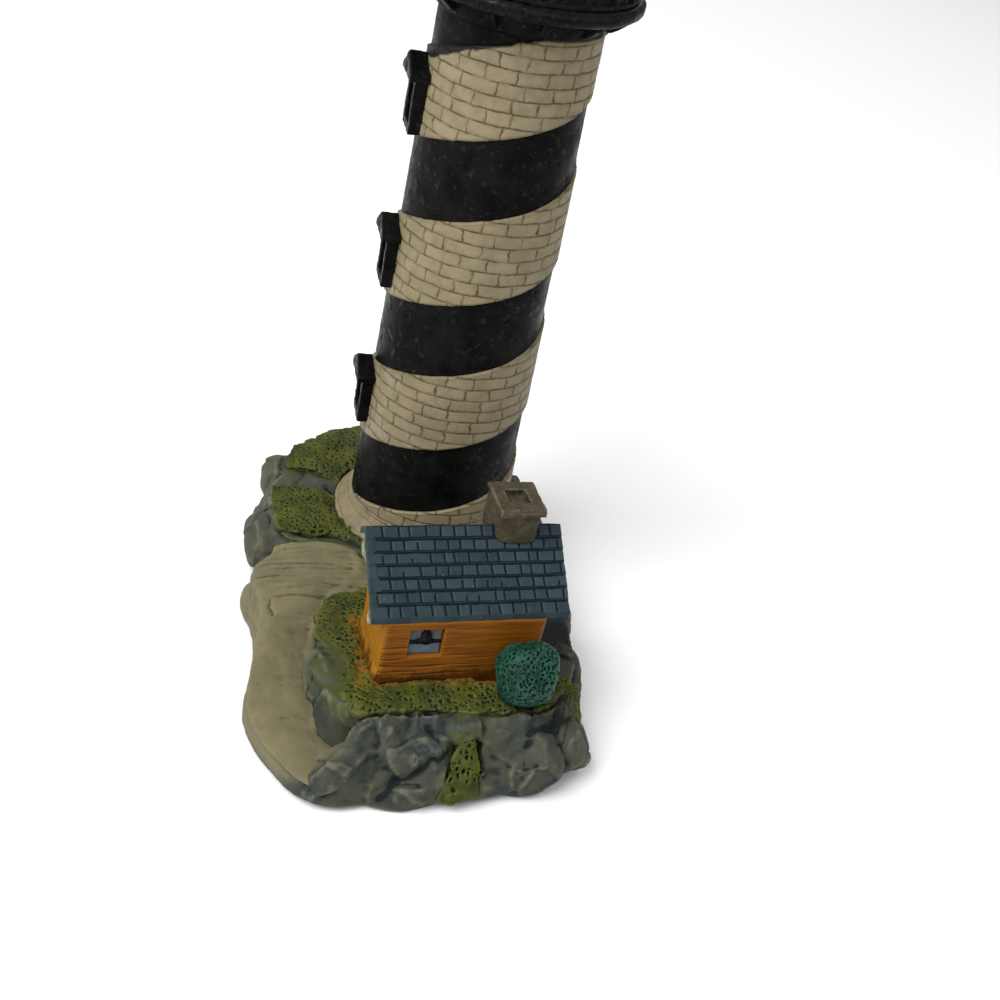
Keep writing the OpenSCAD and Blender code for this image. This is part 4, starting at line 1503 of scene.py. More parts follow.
class Paints:
    """Every finish of the figurine as a material, made once."""

    def __init__(self) -> None:
        """Makes the shared groups and the materials."""
        effects = Effects()
        self.stone = StonePaint().build(effects)
        self.path = PathPaint().build(effects)
        self.turf = TurfPaint().build(effects)
        self.leaf = LeafPaint().build(effects)
        self.brick = BrickPaint().build(effects)
        self.black = BlackPaint().build(effects)
        self.slate = SlatePaint().build(effects)
        self.board = BoardPaint().build(effects)
        self.felt = Felt().build(effects)
        self.cream = CREAM.build(effects)
        self.taupe = TAUPE.build(effects)
        self.pane = PanePaint().build(effects)
        self.brown = BROWN.build(effects)
        self.lamp = YELLOW.build(effects)


# The rock and what lies on it


@dataclass
class Ground:
    """Rock, path, turf, bush and felt: struck boulders, creases and pools of shade on the rock."""

    paints: Paints
    boulders: tuple[Boulder, ...] = (
        Boulder((-21.8, 11.0, 6.6), (3.8, 5.0, 4.2), 25, 4),
        Boulder((-24.9, -2.8, 4.6), (3.7, 4.8, 4.5), 5, 4),
        Boulder((-24.0, -10.2, 3.4), (2.7, 2.8, 3.4), 0, 5),
        Boulder((-26.9, -17.4, 4.0), (2.2, 3.1, 3.6), 10, 4),
        Boulder((-15.0, 18.6, 5.4), (5.0, 3.2, 4.4), 30, 9),
        Boulder((-17.3, -50.2, 4.4), (4.9, 3.6, 4.4), 20, 10),
        Boulder((-10.8, -47.6, 4.8), (5.2, 3.9, 5.0), -30, 7),
        Boulder((-5.6, -48.2, 5.0), (3.4, 3.8, 4.9), 15, 6),
        Boulder((-9.0, -52.4, 1.8), (6.0, 2.0, 2.4), 0, 8),
        Boulder((6.8, -48.4, 4.2), (6.8, 4.6, 5.4), -8, 6),
        Boulder((13.4, -45.2, 3.6), (4.2, 5.0, 4.6), 40, 10),
        Boulder((-1.0, -46.9, 8.4), (3.6, 2.2, 2.3), 10, 0),
        Boulder((-18.9, -36.8, 7.4), (2.5, 5.4, 3.9), 10, 6),
        Boulder((-17.4, -29.4, 7.6), (1.6, 3.8, 3.0), 0, 7),
        Boulder((15.6, -33.5, 6.6), (3.2, 4.4, 4.2), 10, 9),
        Boulder((17.4, -22.5, 6.4), (2.6, 5.2, 4.2), 0, 9),
        Boulder((17.6, -6.0, 6.2), (2.6, 6.0, 4.2), 4, 9),
        Boulder((15.6, 10.5, 5.6), (3.0, 5.2, 4.6), -30, 9),
        Boulder((5.0, 21.0, 5.0), (5.2, 3.0, 4.6), -10, 9),
    )
    creases: tuple[Line, ...] = (
        ((4.9, -51.0, 7.2), (7.0, -50.0, 8.4), (9.9, -47.3, 8.3)),
        ((7.4, -48.7, 9.3), (10.3, -46.7, 8.2), (12.0, -45.7, 8.6), (11.8, -45.4, 9.3)),
        ((1.6, -52.2, 4.7), (3.1, -51.9, 5.1), (4.3, -52.0, 6.2)),
        ((5.9, -52.6, 6.0), (8.1, -52.3, 7.0)),
        ((4.9, -53.0, 4.6), (6.4, -53.1, 5.1)),
        ((-6.3, -48.0, 9.7), (-5.8, -49.0, 9.2), (-5.4, -49.9, 8.5)),
        ((-6.2, -51.7, 7.5), (-4.9, -51.5, 7.2), (-3.9, -50.0, 7.4)),
        (
            (-12.2, -53.2, 2.2), (-10.7, -52.7, 4.1), (-9.7, -52.2, 4.2),
            (-8.6, -51.8, 4.3), (-7.2, -51.7, 5.6), (-6.0, -51.6, 7.2),
        ),
        ((0.4, -49.4, 8.4), (1.0, -50.7, 5.8), (0.6, -52.2, 4.7), (0.7, -53.0, 3.1)),
        ((-15.3, 3.2, 11.0), (-14.3, 2.6, 10.4)),
    )
    pools: tuple[tuple[Point, float, float], ...] = (
        ((15.8, -30.0, 10.0), 5.5, 0.3),
        ((11.5, -44.5, 10.0), 5.0, 0.22),
        ((17.6, -37.0, 7.0), 4.0, 0.12),
    )
    ridge: Line = ((-11.1, -49.0, 9.8), (-9.6, -50.6, 9.4), (-8.0, -50.9, 7.1))
    mats: tuple[str, ...] = (
        "back_turf", "left_turf", "cottage_turf", "front_turf", "gully_turf", "edge_turf",
    )
    path_slit: Line = ((-25.4, -23.2, 9.7), (-25.8, -24.0, 9.4), (-25.3, -25.2, 9.1))
    path_seam: Line = (
        (-13.0, -12.5, 10.2), (-12.3, -15.0, 10.2), (-12.5, -17.5, 10.2), (-14.5, -20.0, 10.0),
        (-17.0, -22.0, 9.2), (-18.7, -25.0, 7.9), (-19.8, -28.0, 6.6), (-20.3, -32.0, 5.4),
        (-20.3, -36.0, 4.6), (-20.2, -40.0, 4.2), (-20.0, -42.5, 4.1),
    )
    path_bead: Point = (1.1, 1.1, 0.8)
    wall_at: tuple[float, float] = (-2.4, -34.8)
    wall_half: tuple[float, float] = (11.6, 5.9)
    bush_axes: tuple[Point, ...] = ((0.98, 0.2, 0.0), (-0.12, 0.58, 0.81), (0.16, -0.79, 0.59))
    bush_flat: Point = (0.93, -0.36, 0.0)
    bush_power: float = 3.0

    def build(self) -> None:
        """Makes every piece of the ground."""
        self._rock()
        self._path()
        self._turf()
        self._bush()
        self._felt()

    def _felt(self) -> None:
        """The felt under the base, whose solid stays as it is."""
        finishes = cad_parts["felt_pad"].data.materials
        finishes.clear()
        finishes.append(self.paints.felt)

    def rock_relief(self, p: Array, n: Array) -> Array:
        """Broad struck planes with sharp ledges, thin clefts and knife-cut creases.

        Args:
            p: Points of the casting.
            n: Their normals.

        Returns:
            The height added to each point.
        """
        bent = NOISE.bent(p, 1.3, 5.0, (0, 50, 90), 2)
        cut = NOISE.cells(bent * np.array([1.0, 1.0, 0.85]), 7.5)
        lean = np.stack([np.sin(cut.mark * a) for a in (40.0, 71.0, 113.0)], 1)
        planes = np.clip((cut.away * lean).sum(1) * 0.1, -0.35, 0.35)
        planes *= ease(0.0, 0.9, cut.second - cut.near)
        cleft = ease(0.05, 0.0, np.abs(NOISE.waves(bent + 17.0, 5.0)))
        cleft *= ease(0.1, 0.4, NOISE.waves(p + 60.0, 6.0))
        rough = NOISE.waves(p, 3.4, 2) * 0.15 + NOISE.waves(p, 0.9, 2) * 0.025
        wobbly = NOISE.bent(p, 0.25, 1.3, (0, 30, 60))
        far = near_lines(wobbly, self.creases)
        cuts = 0.75 * ease(0.36, 0.05, far) + 0.35 * ease(1.4, 0.2, far)
        rough += 0.6 * ease(1.6, 0.0, near_lines(wobbly, (self.ridge,)))
        rim = ease(-20.0, -23.0, p[:, 0]) * ease(-10.0, -13.0, p[:, 1]) * ease(-54.0, -50.0, p[:, 1])
        level = (ease(0.97, 0.8, n[:, 2]) * 0.7 + 0.3) * (1 - 0.75 * rim)
        return (planes + rough - 0.15 * cleft) * level * ease(0.5, 2.0, p[:, 2]) - 0.7 * cuts

    def _rock(self) -> None:
        """The whole rock in one casting: base, crags and the small stone."""
        nodes = ("rock_base", "left_crag", "middle_crag", "right_crag", "step_stone")
        parts = [cad_mesh(n) for n in nodes] + [b.mesh() for b in self.boulders]
        mats = {n: cad_mesh(n) for n in self.mats}
        turf = joined(list(mats.values()))
        for node, mat in mats.items():
            deep = 1.0 if node == "gully_turf" else 0.35
            mat.transform(Matrix.Translation((0, deep, -deep)))
        cast = Casting(0.34, 4, self.rock_relief, 7, 0.25)
        mesh = cast.skin([*parts, *mats.values()])
        p = read_points(mesh)
        store(mesh, "turf", ease(1.5, 0.3, away_from(p, turf, 1.6)))
        drift = 1.5 * NOISE.waves(p, 3.0) - 4.5 * ease(-44.0, -49.0, p[:, 1])
        near_path = ease(-19.5, -24.0, p[:, 0] + drift) * ease(-8.0, -12.0, p[:, 1])
        boulders = 0.2 * ease(-18.0, -21.0, p[:, 0]) * ease(-12.0, -9.0, p[:, 1])
        near_path = near_path * ease(0.8, 2.6, p[:, 2]) * ease(-52.5, -48.0, p[:, 1])
        store(mesh, "path", np.maximum(near_path, boulders))
        relief = crests(mesh, cast.crest_passes, cast.crest_height)
        # Painted shade: the wash is laid darker in pools of shade to the right of the cottage and at the
        # front crags.
        for spot, size, depth in self.pools:
            relief -= depth * ease(size, size * 0.3, np.linalg.norm(p - spot, axis=1))
        # Darker wash along the creases, with painted shade in their cuts.
        relief -= 0.3 * ease(0.75, 0.2, near_lines(p, self.creases))
        store(mesh, "relief", np.clip(relief, 0, 1))
        hand_over("rock", mesh, self.paints.stone, nodes)

    def path_relief(self, p: Array, n: Array) -> Array:
        """Soft steps by the tower, strokes across them, a slit and a few pits.

        Args:
            p: Points of the casting.
            n: Their normals, not used.

        Returns:
            The height added to each point.
        """
        upper = ease(-31.0, -22.0, p[:, 1])
        bow = p[:, 1] * 1.15 + 0.012 * (p[:, 0] + 20.0) ** 2
        bowed = np.stack([p[:, 0] * 0.16, bow, p[:, 2] * 0.2], 1)
        strokes = NOISE.waves(bowed, 1.3, 2) * (0.02 + 0.14 * upper)
        lumps = NOISE.waves(p, 7.0, 2) * 0.22 + NOISE.waves(p, 1.6, 2) * 0.035
        slit = ease(0.5, 0.0, near_lines(NOISE.bent(p, 0.4, 1.5, (0, 30, 60)), (self.path_slit,)))
        pits = NOISE.cells(p, 3.4)
        pit = ease(0.55, 0.1, pits.near) * (pits.mark > 0.82)
        return strokes + lumps - 0.22 * slit - 0.25 * pit

    def _path(self) -> None:
        """The worn path and its landing behind the cottage, run together in one casting."""
        seam = dense(self.path_seam, 0.8)
        seam[:, 2] += 0.25 * NOISE.waves(seam, 3.0)
        beads = [Boulder(spot, self.path_bead).mesh() for spot in seam]
        shapes = [cad_mesh("footpath"), cad_mesh("landing"), *beads]
        mesh = Casting(0.26, 14, self.path_relief, 5, 0.09).skin(shapes)
        hand_over("path", mesh, self.paints.path, ("footpath", "landing"))

    def turf_relief(self, p: Array, n: Array) -> Array:
        """Stippled pits with ridges between them, on low humps with ragged edges.

        Args:
            p: Points of the casting.
            n: Their normals.

        Returns:
            The height added to each point.
        """
        pits = NOISE.cells(NOISE.bent(p, 0.25, 0.8, (0, 40, 80)) * np.array([1.0, 1.0, 0.7]), 0.7)
        size = 0.17 + 0.15 * pits.mark
        pit = ease(size + 0.1, size * 0.5, pits.near)
        ridge = ease(0.4, 0.05, pits.second - pits.near)
        humps = NOISE.waves(p, 2.8, 2) * 0.3
        ragged = NOISE.waves(p * np.array([1.0, 1.0, 0.3]) + 9.0, 3.4, 3) * 0.8 + 0.05
        deep = ease(-0.2, 0.5, n[:, 2])
        fade = ease(-0.25, 0.25, NOISE.waves(p + 33.0, 4.0) + 0.35)
        deep *= mix(0.35, 1.0, fade)
        stipple = 0.05 * ridge - 0.5 * pit * (0.4 + 0.6 * pits.mark)
        return humps + ragged * ease(0.85, 0.2, n[:, 2]) + stipple * deep

    def off_wall(self, p: Array) -> Array:
        """Distance from the cottage's walls, seen from above."""
        return (np.abs(p[:, :2] - self.wall_at) - self.wall_half).max(1)

    def mat_shape(self, node: str, p: Array) -> Array:
        """A mat's points drawn to its painted outline.

        Args:
            node: The mat's CAD node.
            p: Its points.

        Returns:
            The points after the mat is narrowed, widened or heaped against the walls.
        """
        x, y, z = p.T
        if node == "gully_turf":
            t = ease(4.5, 9.5, z)
            x = mix(-1.5, -0.9, t) + (x - x.mean()) * mix(1.45, 0.5, t)
            y = y - 0.5 * ease(9.6, 8.0, z)
            z = z - 1.6 * ease(8.0, 4.8, z) - 0.9 * ease(8.5, 9.8, z)
        elif node == "left_turf":
            y = y + 1.5 * ease(0.0, 4.0, y) * ease(-12.0, -16.0, x)
        elif node in ("cottage_turf", "front_turf"):
            x = np.where(x < -10, -10 + (x + 10) * (1 - 0.25 * ease(-31.0, -36.0, y)), x)
            heap = ease(2.4, 0.2, self.off_wall(p)) * (z > 10.6)
            z = z + 0.8 * heap
        return np.stack([x, y, z], 1)

    def _turf(self) -> None:
        """The mats of turf."""
        cast = Casting(0.15, 1, self.turf_relief, 4, 0.12)
        for node in self.mats:
            blank = cad_mesh(node)
            write_points(blank, self.mat_shape(node, read_points(blank)))
            mesh = cast.skin([blank])
            p, n = read_points(mesh), read_normals(mesh)
            store(mesh, "spill", ease(2.0, 0.1, self.off_wall(p) + NOISE.waves(p, 1.6) * 0.8))
            side = neighbour_mean(mesh, ease(0.75, 0.25, n[:, 2]), 3)
            store(mesh, "rim", side * (node not in ("gully_turf", "edge_turf")))
            hand_over(node.replace("_turf", "_turf_mat"), mesh, self.paints.turf, (node,))

    def bush_relief(self, p: Array, n: Array) -> Array:
        """Worm-like ridges round deep short pits, and brushed streaks on the skirt.

        Args:
            p: Points of the casting.
            n: Their normals, not used.

        Returns:
            The height added to each point.
        """
        pits = NOISE.cells(NOISE.bent(p, 0.45, 1.0, (0, 40, 80)) * np.array([0.85, 0.85, 1.3]), 0.62)
        pit = ease(0.34, 0.1, pits.near)
        ridge = ease(0.35, 0.05, pits.second - pits.near)
        skirt = ease(13.8, 12.4, p[:, 2])
        streaks = NOISE.waves(p * np.array([1.0, 1.0, 0.2]), 0.5, 2) * 0.14
        dimpled = 0.12 * ridge - 0.5 * pit * (0.5 + 0.5 * pits.mark)
        dimpled *= mix(0.3, 1.0, ease(-0.3, 0.15, NOISE.waves(p + 12.0, 2.2)))
        return mix(dimpled, streaks, skirt) + NOISE.waves(p, 2.6) * 0.25

    def _bush(self) -> None:
        """The bush: a ball drawn towards a tilted box, flattened at one side, on its stem."""
        low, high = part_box("bush")
        middle = np.array([(low.x + high.x) / 2, (low.y + high.y) / 2]) / MM
        radius = (high.x - low.x) / 2 / MM
        mesh = ball("bush", 6, radius)
        p = read_points(mesh)
        tilted = np.abs(p @ np.array(self.bush_axes).T)
        boxed = (tilted**self.bush_power).sum(1) ** (1 / self.bush_power)
        p *= (radius / boxed * 0.985)[:, None]
        flat = np.array(self.bush_flat)
        p -= 0.75 * np.maximum(p @ flat - 0.86 * radius, 0)[:, None] * flat
        stem = ease(-1.2, -radius, p[:, 2])
        p[:, 2] = np.where(p[:, 2] < 0, p[:, 2] * 1.3, p[:, 2])
        p[:, :2] *= (1 - 0.1 * stem)[:, None]
        write_points(mesh, p + np.array([middle[0], middle[1], high.z / MM - radius * 1.02]))
        p, n = read_points(mesh), read_normals(mesh)
        write_points(mesh, p + n * self.bush_relief(p, n)[:, None])
        store(mesh, "relief", crests(mesh, 5, 0.07))
        hand_over("bush_ball", mesh, self.paints.leaf, ("bush",))


# The tower


@dataclass
class Tower:
    """Shaft, flared foot, spiral of brickwork and windows."""

    paints: Paints
    shaft_r: float = 12.5
    taper: float = 0.0192
    proud: float = 0.4
    plateau_z: float = 10.0
    foot_z: float = 13.6
    foot_r: float = 14.4
    gallery_z: float = 91.5
    high: float = 88.8
    pitch: float = 23.25
    band_h: float = 12.2
    band_z: float = 18.0
    bearing: float = -104.5
    wander: float = 0.45
    laid_r: float = 12.2
    foot_laid_r: float = 12.3
    spigot_r: float = 7.0
    spigot_h: float = 4.5
    columns: int = 250
    ring_step: float = 0.31
    laying: Bricklaying = Bricklaying()
    lap_turns: tuple[float, ...] = (100, 186.7, 206.8, 223.2, 246.7, 258, 300)
    lap_heights: tuple[float, ...] = (78, 81.9, 83.6, 85.1, 86.9, 87.9, 90)

    def shaft_at(self, z: Array | float) -> Array | float:
        """Radius of the bare shaft at a height."""
        return self.shaft_r - self.taper * z - self.proud / 2

    def build(self) -> None:
        """Makes every piece of the tower up to its gallery."""
        self._shaft()
        self._foot()
        self._band()
        self._windows()

    def _shaft(self) -> None:
        """The black shaft with its bubble pits."""
        bare = np.arange(self.plateau_z, self.gallery_z + 0.01, self.ring_step)
        z = np.concatenate([[self.plateau_z - self.spigot_h], bare])
        r = np.where(z < self.plateau_z, self.spigot_r, self.shaft_at(z))
        grid = rings(np.stack([r, z], 1), self.columns)
        p = grid.reshape(-1, 3)
        n = p / np.linalg.norm(p[:, :2], axis=1)[:, None] * np.array([1, 1, 0])
        pits = NOISE.cells(p, 1.5)
        size = 0.2 + 0.25 * pits.mark
        pit = ease(size + 0.25, size * 0.5, pits.near) * (pits.mark > 0.55)
        patch = ease(-0.1, 0.35, NOISE.waves(p, 9.0))
        push = NOISE.waves(p, 5.0, 2) * 0.07 + NOISE.waves(p, 1.0, 2) * 0.025 - 0.16 * pit * patch
        push *= ease(self.plateau_z, self.plateau_z + 1, p[:, 2])
        grid = (p + n * push[:, None]).reshape(grid.shape)
        ends = [np.array([[[0, 0, z[k]]]]) * np.ones((1, self.columns, 3)) for k in (0, -1)]
        mesh = tube_mesh("shaft", np.concatenate([ends[0], grid, ends[1]]))
        store(mesh, "relief", crests(mesh, 4, 0.1))
        hand_over("shaft_skin", mesh, self.paints.black, ("tower_shaft",))

    def _foot(self) -> None:
        """The flared foot, with the lowest courses carved round it."""
        u = np.linspace(0, 1, 30)
        r = mix(self.foot_r, self.shaft_at(self.foot_z) + self.proud, 1 - (1 - u) ** 2)
        z = self.plateau_z + 0.4 + (self.foot_z - self.plateau_z - 0.4) * u
        inner = self.shaft_at(self.foot_z) - 0.3
        below = [[inner, self.plateau_z], [self.foot_r, self.plateau_z]]
        behind = [[inner, self.foot_z], [inner, self.plateau_z]]
        profile = np.concatenate([below, np.stack([r, z], 1), behind])
        mesh = lathe("foot", dense(profile, 0.2), 330)
        p, n = read_points(mesh), read_normals(mesh)
        arc = (np.arctan2(p[:, 1], -p[:, 0]) + 4.0) * self.foot_laid_r
        course, brick = self.laying.course, self.laying.brick
        row = (p[:, 2] + 0.12 * NOISE.waves(p, 2.5)) / course
        level = np.abs(row - np.round(row)) * course
        across = arc / brick + 0.5 * (np.floor(row) % 2) + 0.06 * NOISE.waves(p, 2.0)
        upright = np.abs(across - np.round(across)) * brick
        joint = ease(0.26, 0.05, np.minimum(level + 0.06, upright + 0.08))
        outer = ease(inner + 0.4, inner + 0.6, np.linalg.norm(p[:, :2], axis=1))
        push = (NOISE.waves(p, 2.6, 3) * 0.09 - 0.05 * joint) * outer
        write_points(mesh, p + n * push[:, None])
        store(mesh, "relief", crests(mesh, 4, 0.08))
        store(mesh, "carved", outer * 0.35)
        store(mesh, "level", row)
        store(mesh, "along", arc / brick)
        hand_over("foot_courses", mesh, self.paints.brick, ("tower_foot",))

    def _band_tree(self) -> NodeTree:
        """Geometry tree of the spiral: courses of bricks laid round a tapered shaft.

        Returns:
            The tree, whose back stays open.
        """
        net, wire, sink = new_group(
            "Spiral brickwork",
            "GeometryNodeTree",
            [
                ("First Angle", FLOAT, 0.0),
                ("Last Angle", FLOAT, 1200.0),
                ("Columns", WHOLE, 1640),
                ("Rows", WHOLE, 60),
                ("Pitch", FLOAT, self.pitch),
                ("Band Height", FLOAT, self.band_h),
                ("Start Height", FLOAT, self.band_z),
                ("Low", FLOAT, self.foot_z + 0.1),
                ("High", FLOAT, self.high),
                ("Course", FLOAT, self.laying.course),
                ("Brick", FLOAT, self.laying.brick),
                ("Seed", FLOAT, self.laying.seed),
                ("Joint Depth", FLOAT, 0.1),
                ("Proud", FLOAT, self.proud),
                ("Paint", PAINT, None),
            ],
            [("Geometry", SHAPE)],
        )
        grid = net.add("GeometryNodeMeshGrid", None, Size_X=1.0, Size_Y=1.0)
        net.put(grid.inputs["Vertices X"], wire["Columns"])
        net.put(grid.inputs["Vertices Y"], wire["Rows"])
        x, y, _ = net.parts(net.out(net.add("GeometryNodeInputPosition")))
        u, v = x + 0.5, y + 0.5
        angle = wire["First Angle"] + (wire["Last Angle"] - wire["First Angle"]) * u
        turn = net.math("RADIANS", angle)
        top = wire["Start Height"] + wire["Pitch"] * angle / 360.0 - net.math("SINE", turn) * self.wander
        raw_low = top - wire["Band Height"]
        hi = net.math("MINIMUM", wire["High"], top)
        lo = net.math("MAXIMUM", wire["Low"], raw_low)
        outer = net.math("COMPARE", v, 0.5, 0.5 - 0.012)
        across = net.math("MINIMUM", net.math("MAXIMUM", (v - 0.02) / 0.96, 0.0), 1.0)
        z = lo + (hi - lo) * across
        round_at = net.math("RADIANS", angle + self.bearing)
        arc = turn * self.laid_r
        place = net.vector(arc, z, 0.0)
        bend = net.noise(place, 0.28, 2.0) - 0.5
        kink = net.noise(net.vector(arc, z, 40.0), 0.9, 1.0) - 0.5
        level = (z + bend * 0.5 + kink * 0.16) / wire["Course"]
        along = arc / wire["Brick"] + kink * 0.25
        given = (wire["Course"], wire["Brick"], wire["Seed"])
        near, own = self.laying.joint(net, level, along, given)
        carved = net.step(near, 0.02, 0.16)
        face = (own - 0.5) * 0.04 + (net.noise(place, 1.1, 3.0) - 0.5) * 0.07
        rim = net.math("MINIMUM", hi - z, z - lo)
        lip = net.step(rim, 0.55, 0.1) * 0.07
        soft = net.step(rim, 0.0, 0.22, 0.25, 1.0)
        shaft = self.shaft_r - z * self.taper - self.proud / 2
        height = wire["Proud"] * soft - (1.0 - carved) * wire["Joint Depth"] * soft + face * soft + lip
        tip = net.step(net.math("MINIMUM", u, 1.0 - u), 0.0, 0.0022)
        radius = shaft - 0.25 + (height + 0.25) * outer * tip
        wave = (net.noise(net.vector(arc, 0.0, 70.0), 0.5, 2.0) - 0.5) * 0.3
        ends = net.math("MINIMUM", wire["High"] - z, z - wire["Low"])
        z_out = z + wave * net.step(rim, 1.0, 0.0) * net.step(ends, 0.2, 1.0)
        middle = (lo + hi) * 0.5
        z_out = middle + (z_out - middle) * tip
        spot = net.vector(net.math("COSINE", round_at) * radius, net.math("SINE", round_at) * radius, z_out)
        kept = net.keep(net.out(grid), (("carved", outer), ("level", level), ("along", along)))
        moved = net.add("GeometryNodeSetPosition", None, Geometry=kept, Position=spot)
        merged = net.add("GeometryNodeMergeByDistance", None, Geometry=net.out(moved), Distance=0.0005)
        net.finish(net.out(merged), wire["Paint"], sink)
        return net.tree

    def overpaint(self, p: Array) -> Array:
        """Black paint run over the upper edge of the topmost turn.

        Args:
            p: Points of the band.

        Returns:
            The share of black at each point.
        """
        around = np.degrees(np.arctan2(p[:, 1], p[:, 0])) % 360
        edge = np.interp(around, self.lap_turns, self.lap_heights, left=200) + 0.3 * NOISE.waves(p, 1.6, 2)
        return ease(-0.05, 0.12, p[:, 2] - edge)

    def _band(self) -> None:
        """The raised spiral of cream brickwork."""
        low = self.foot_z + 0.1
        first = (low - self.band_z) / self.pitch * 360
        last = (self.high - self.band_z + self.band_h) / self.pitch * 360
        sizes = {"First Angle": first, "Last Angle": last, "Paint": self.paints.brick}
        mesh = grown(self._band_tree(), sizes)
        bm = bmesh.new()
        bm.from_mesh(mesh)
        bmesh.ops.holes_fill(bm, edges=[e for e in bm.edges if e.is_boundary], sides=0)
        bmesh.ops.recalc_face_normals(bm, faces=bm.faces)
        bm.to_mesh(mesh)
        bm.free()
        store(mesh, "relief", crests(mesh, 4, 0.08))
        store(mesh, "blacked", self.overpaint(read_points(mesh)))
        hand_over("brick_band", mesh, self.paints.brick, ("brick_spiral",))

    def _windows(self) -> None:
        """Frames, sunk panes and gabled hoods, cast in black."""
        worn = Casting(0.13, relief=worn_relief(1.4, 0.1))
        for level, part in itertools.product(("lower", "middle", "upper"), ("frame", "pane", "hood")):
            node = f"{level}_window_{part}"
            mesh = worn.skin([cad_mesh(node)])
            hand_over(f"{level}_{part}_cast", mesh, self.paints.black, (node,))


def grown(tree: NodeTree, values: dict[str, object], base: Mesh | None = None) -> Mesh:
    """Runs a geometry tree once.

    Args:
        tree: The geometry tree.
        values: Its inputs by name.
        base: The mesh that it works on, if it needs one.

    Returns:
        The plain mesh that it makes.
    """
    seed = new_object("seed", base or bpy.data.meshes.new("seed"))
    modifier = seed.modifiers.new("grow", "NODES")
    modifier.node_group = tree
    for item in tree.interface.items_tree:
        if item.item_type == "SOCKET" and item.in_out == "INPUT" and item.name in values:
            modifier[item.identifier] = values[item.name]
    seed.update_tag()
    bpy.context.view_layer.update()
    mesh = plain_mesh(seed)
    bpy.data.objects.remove(seed)
    return mesh


# Gallery and lantern


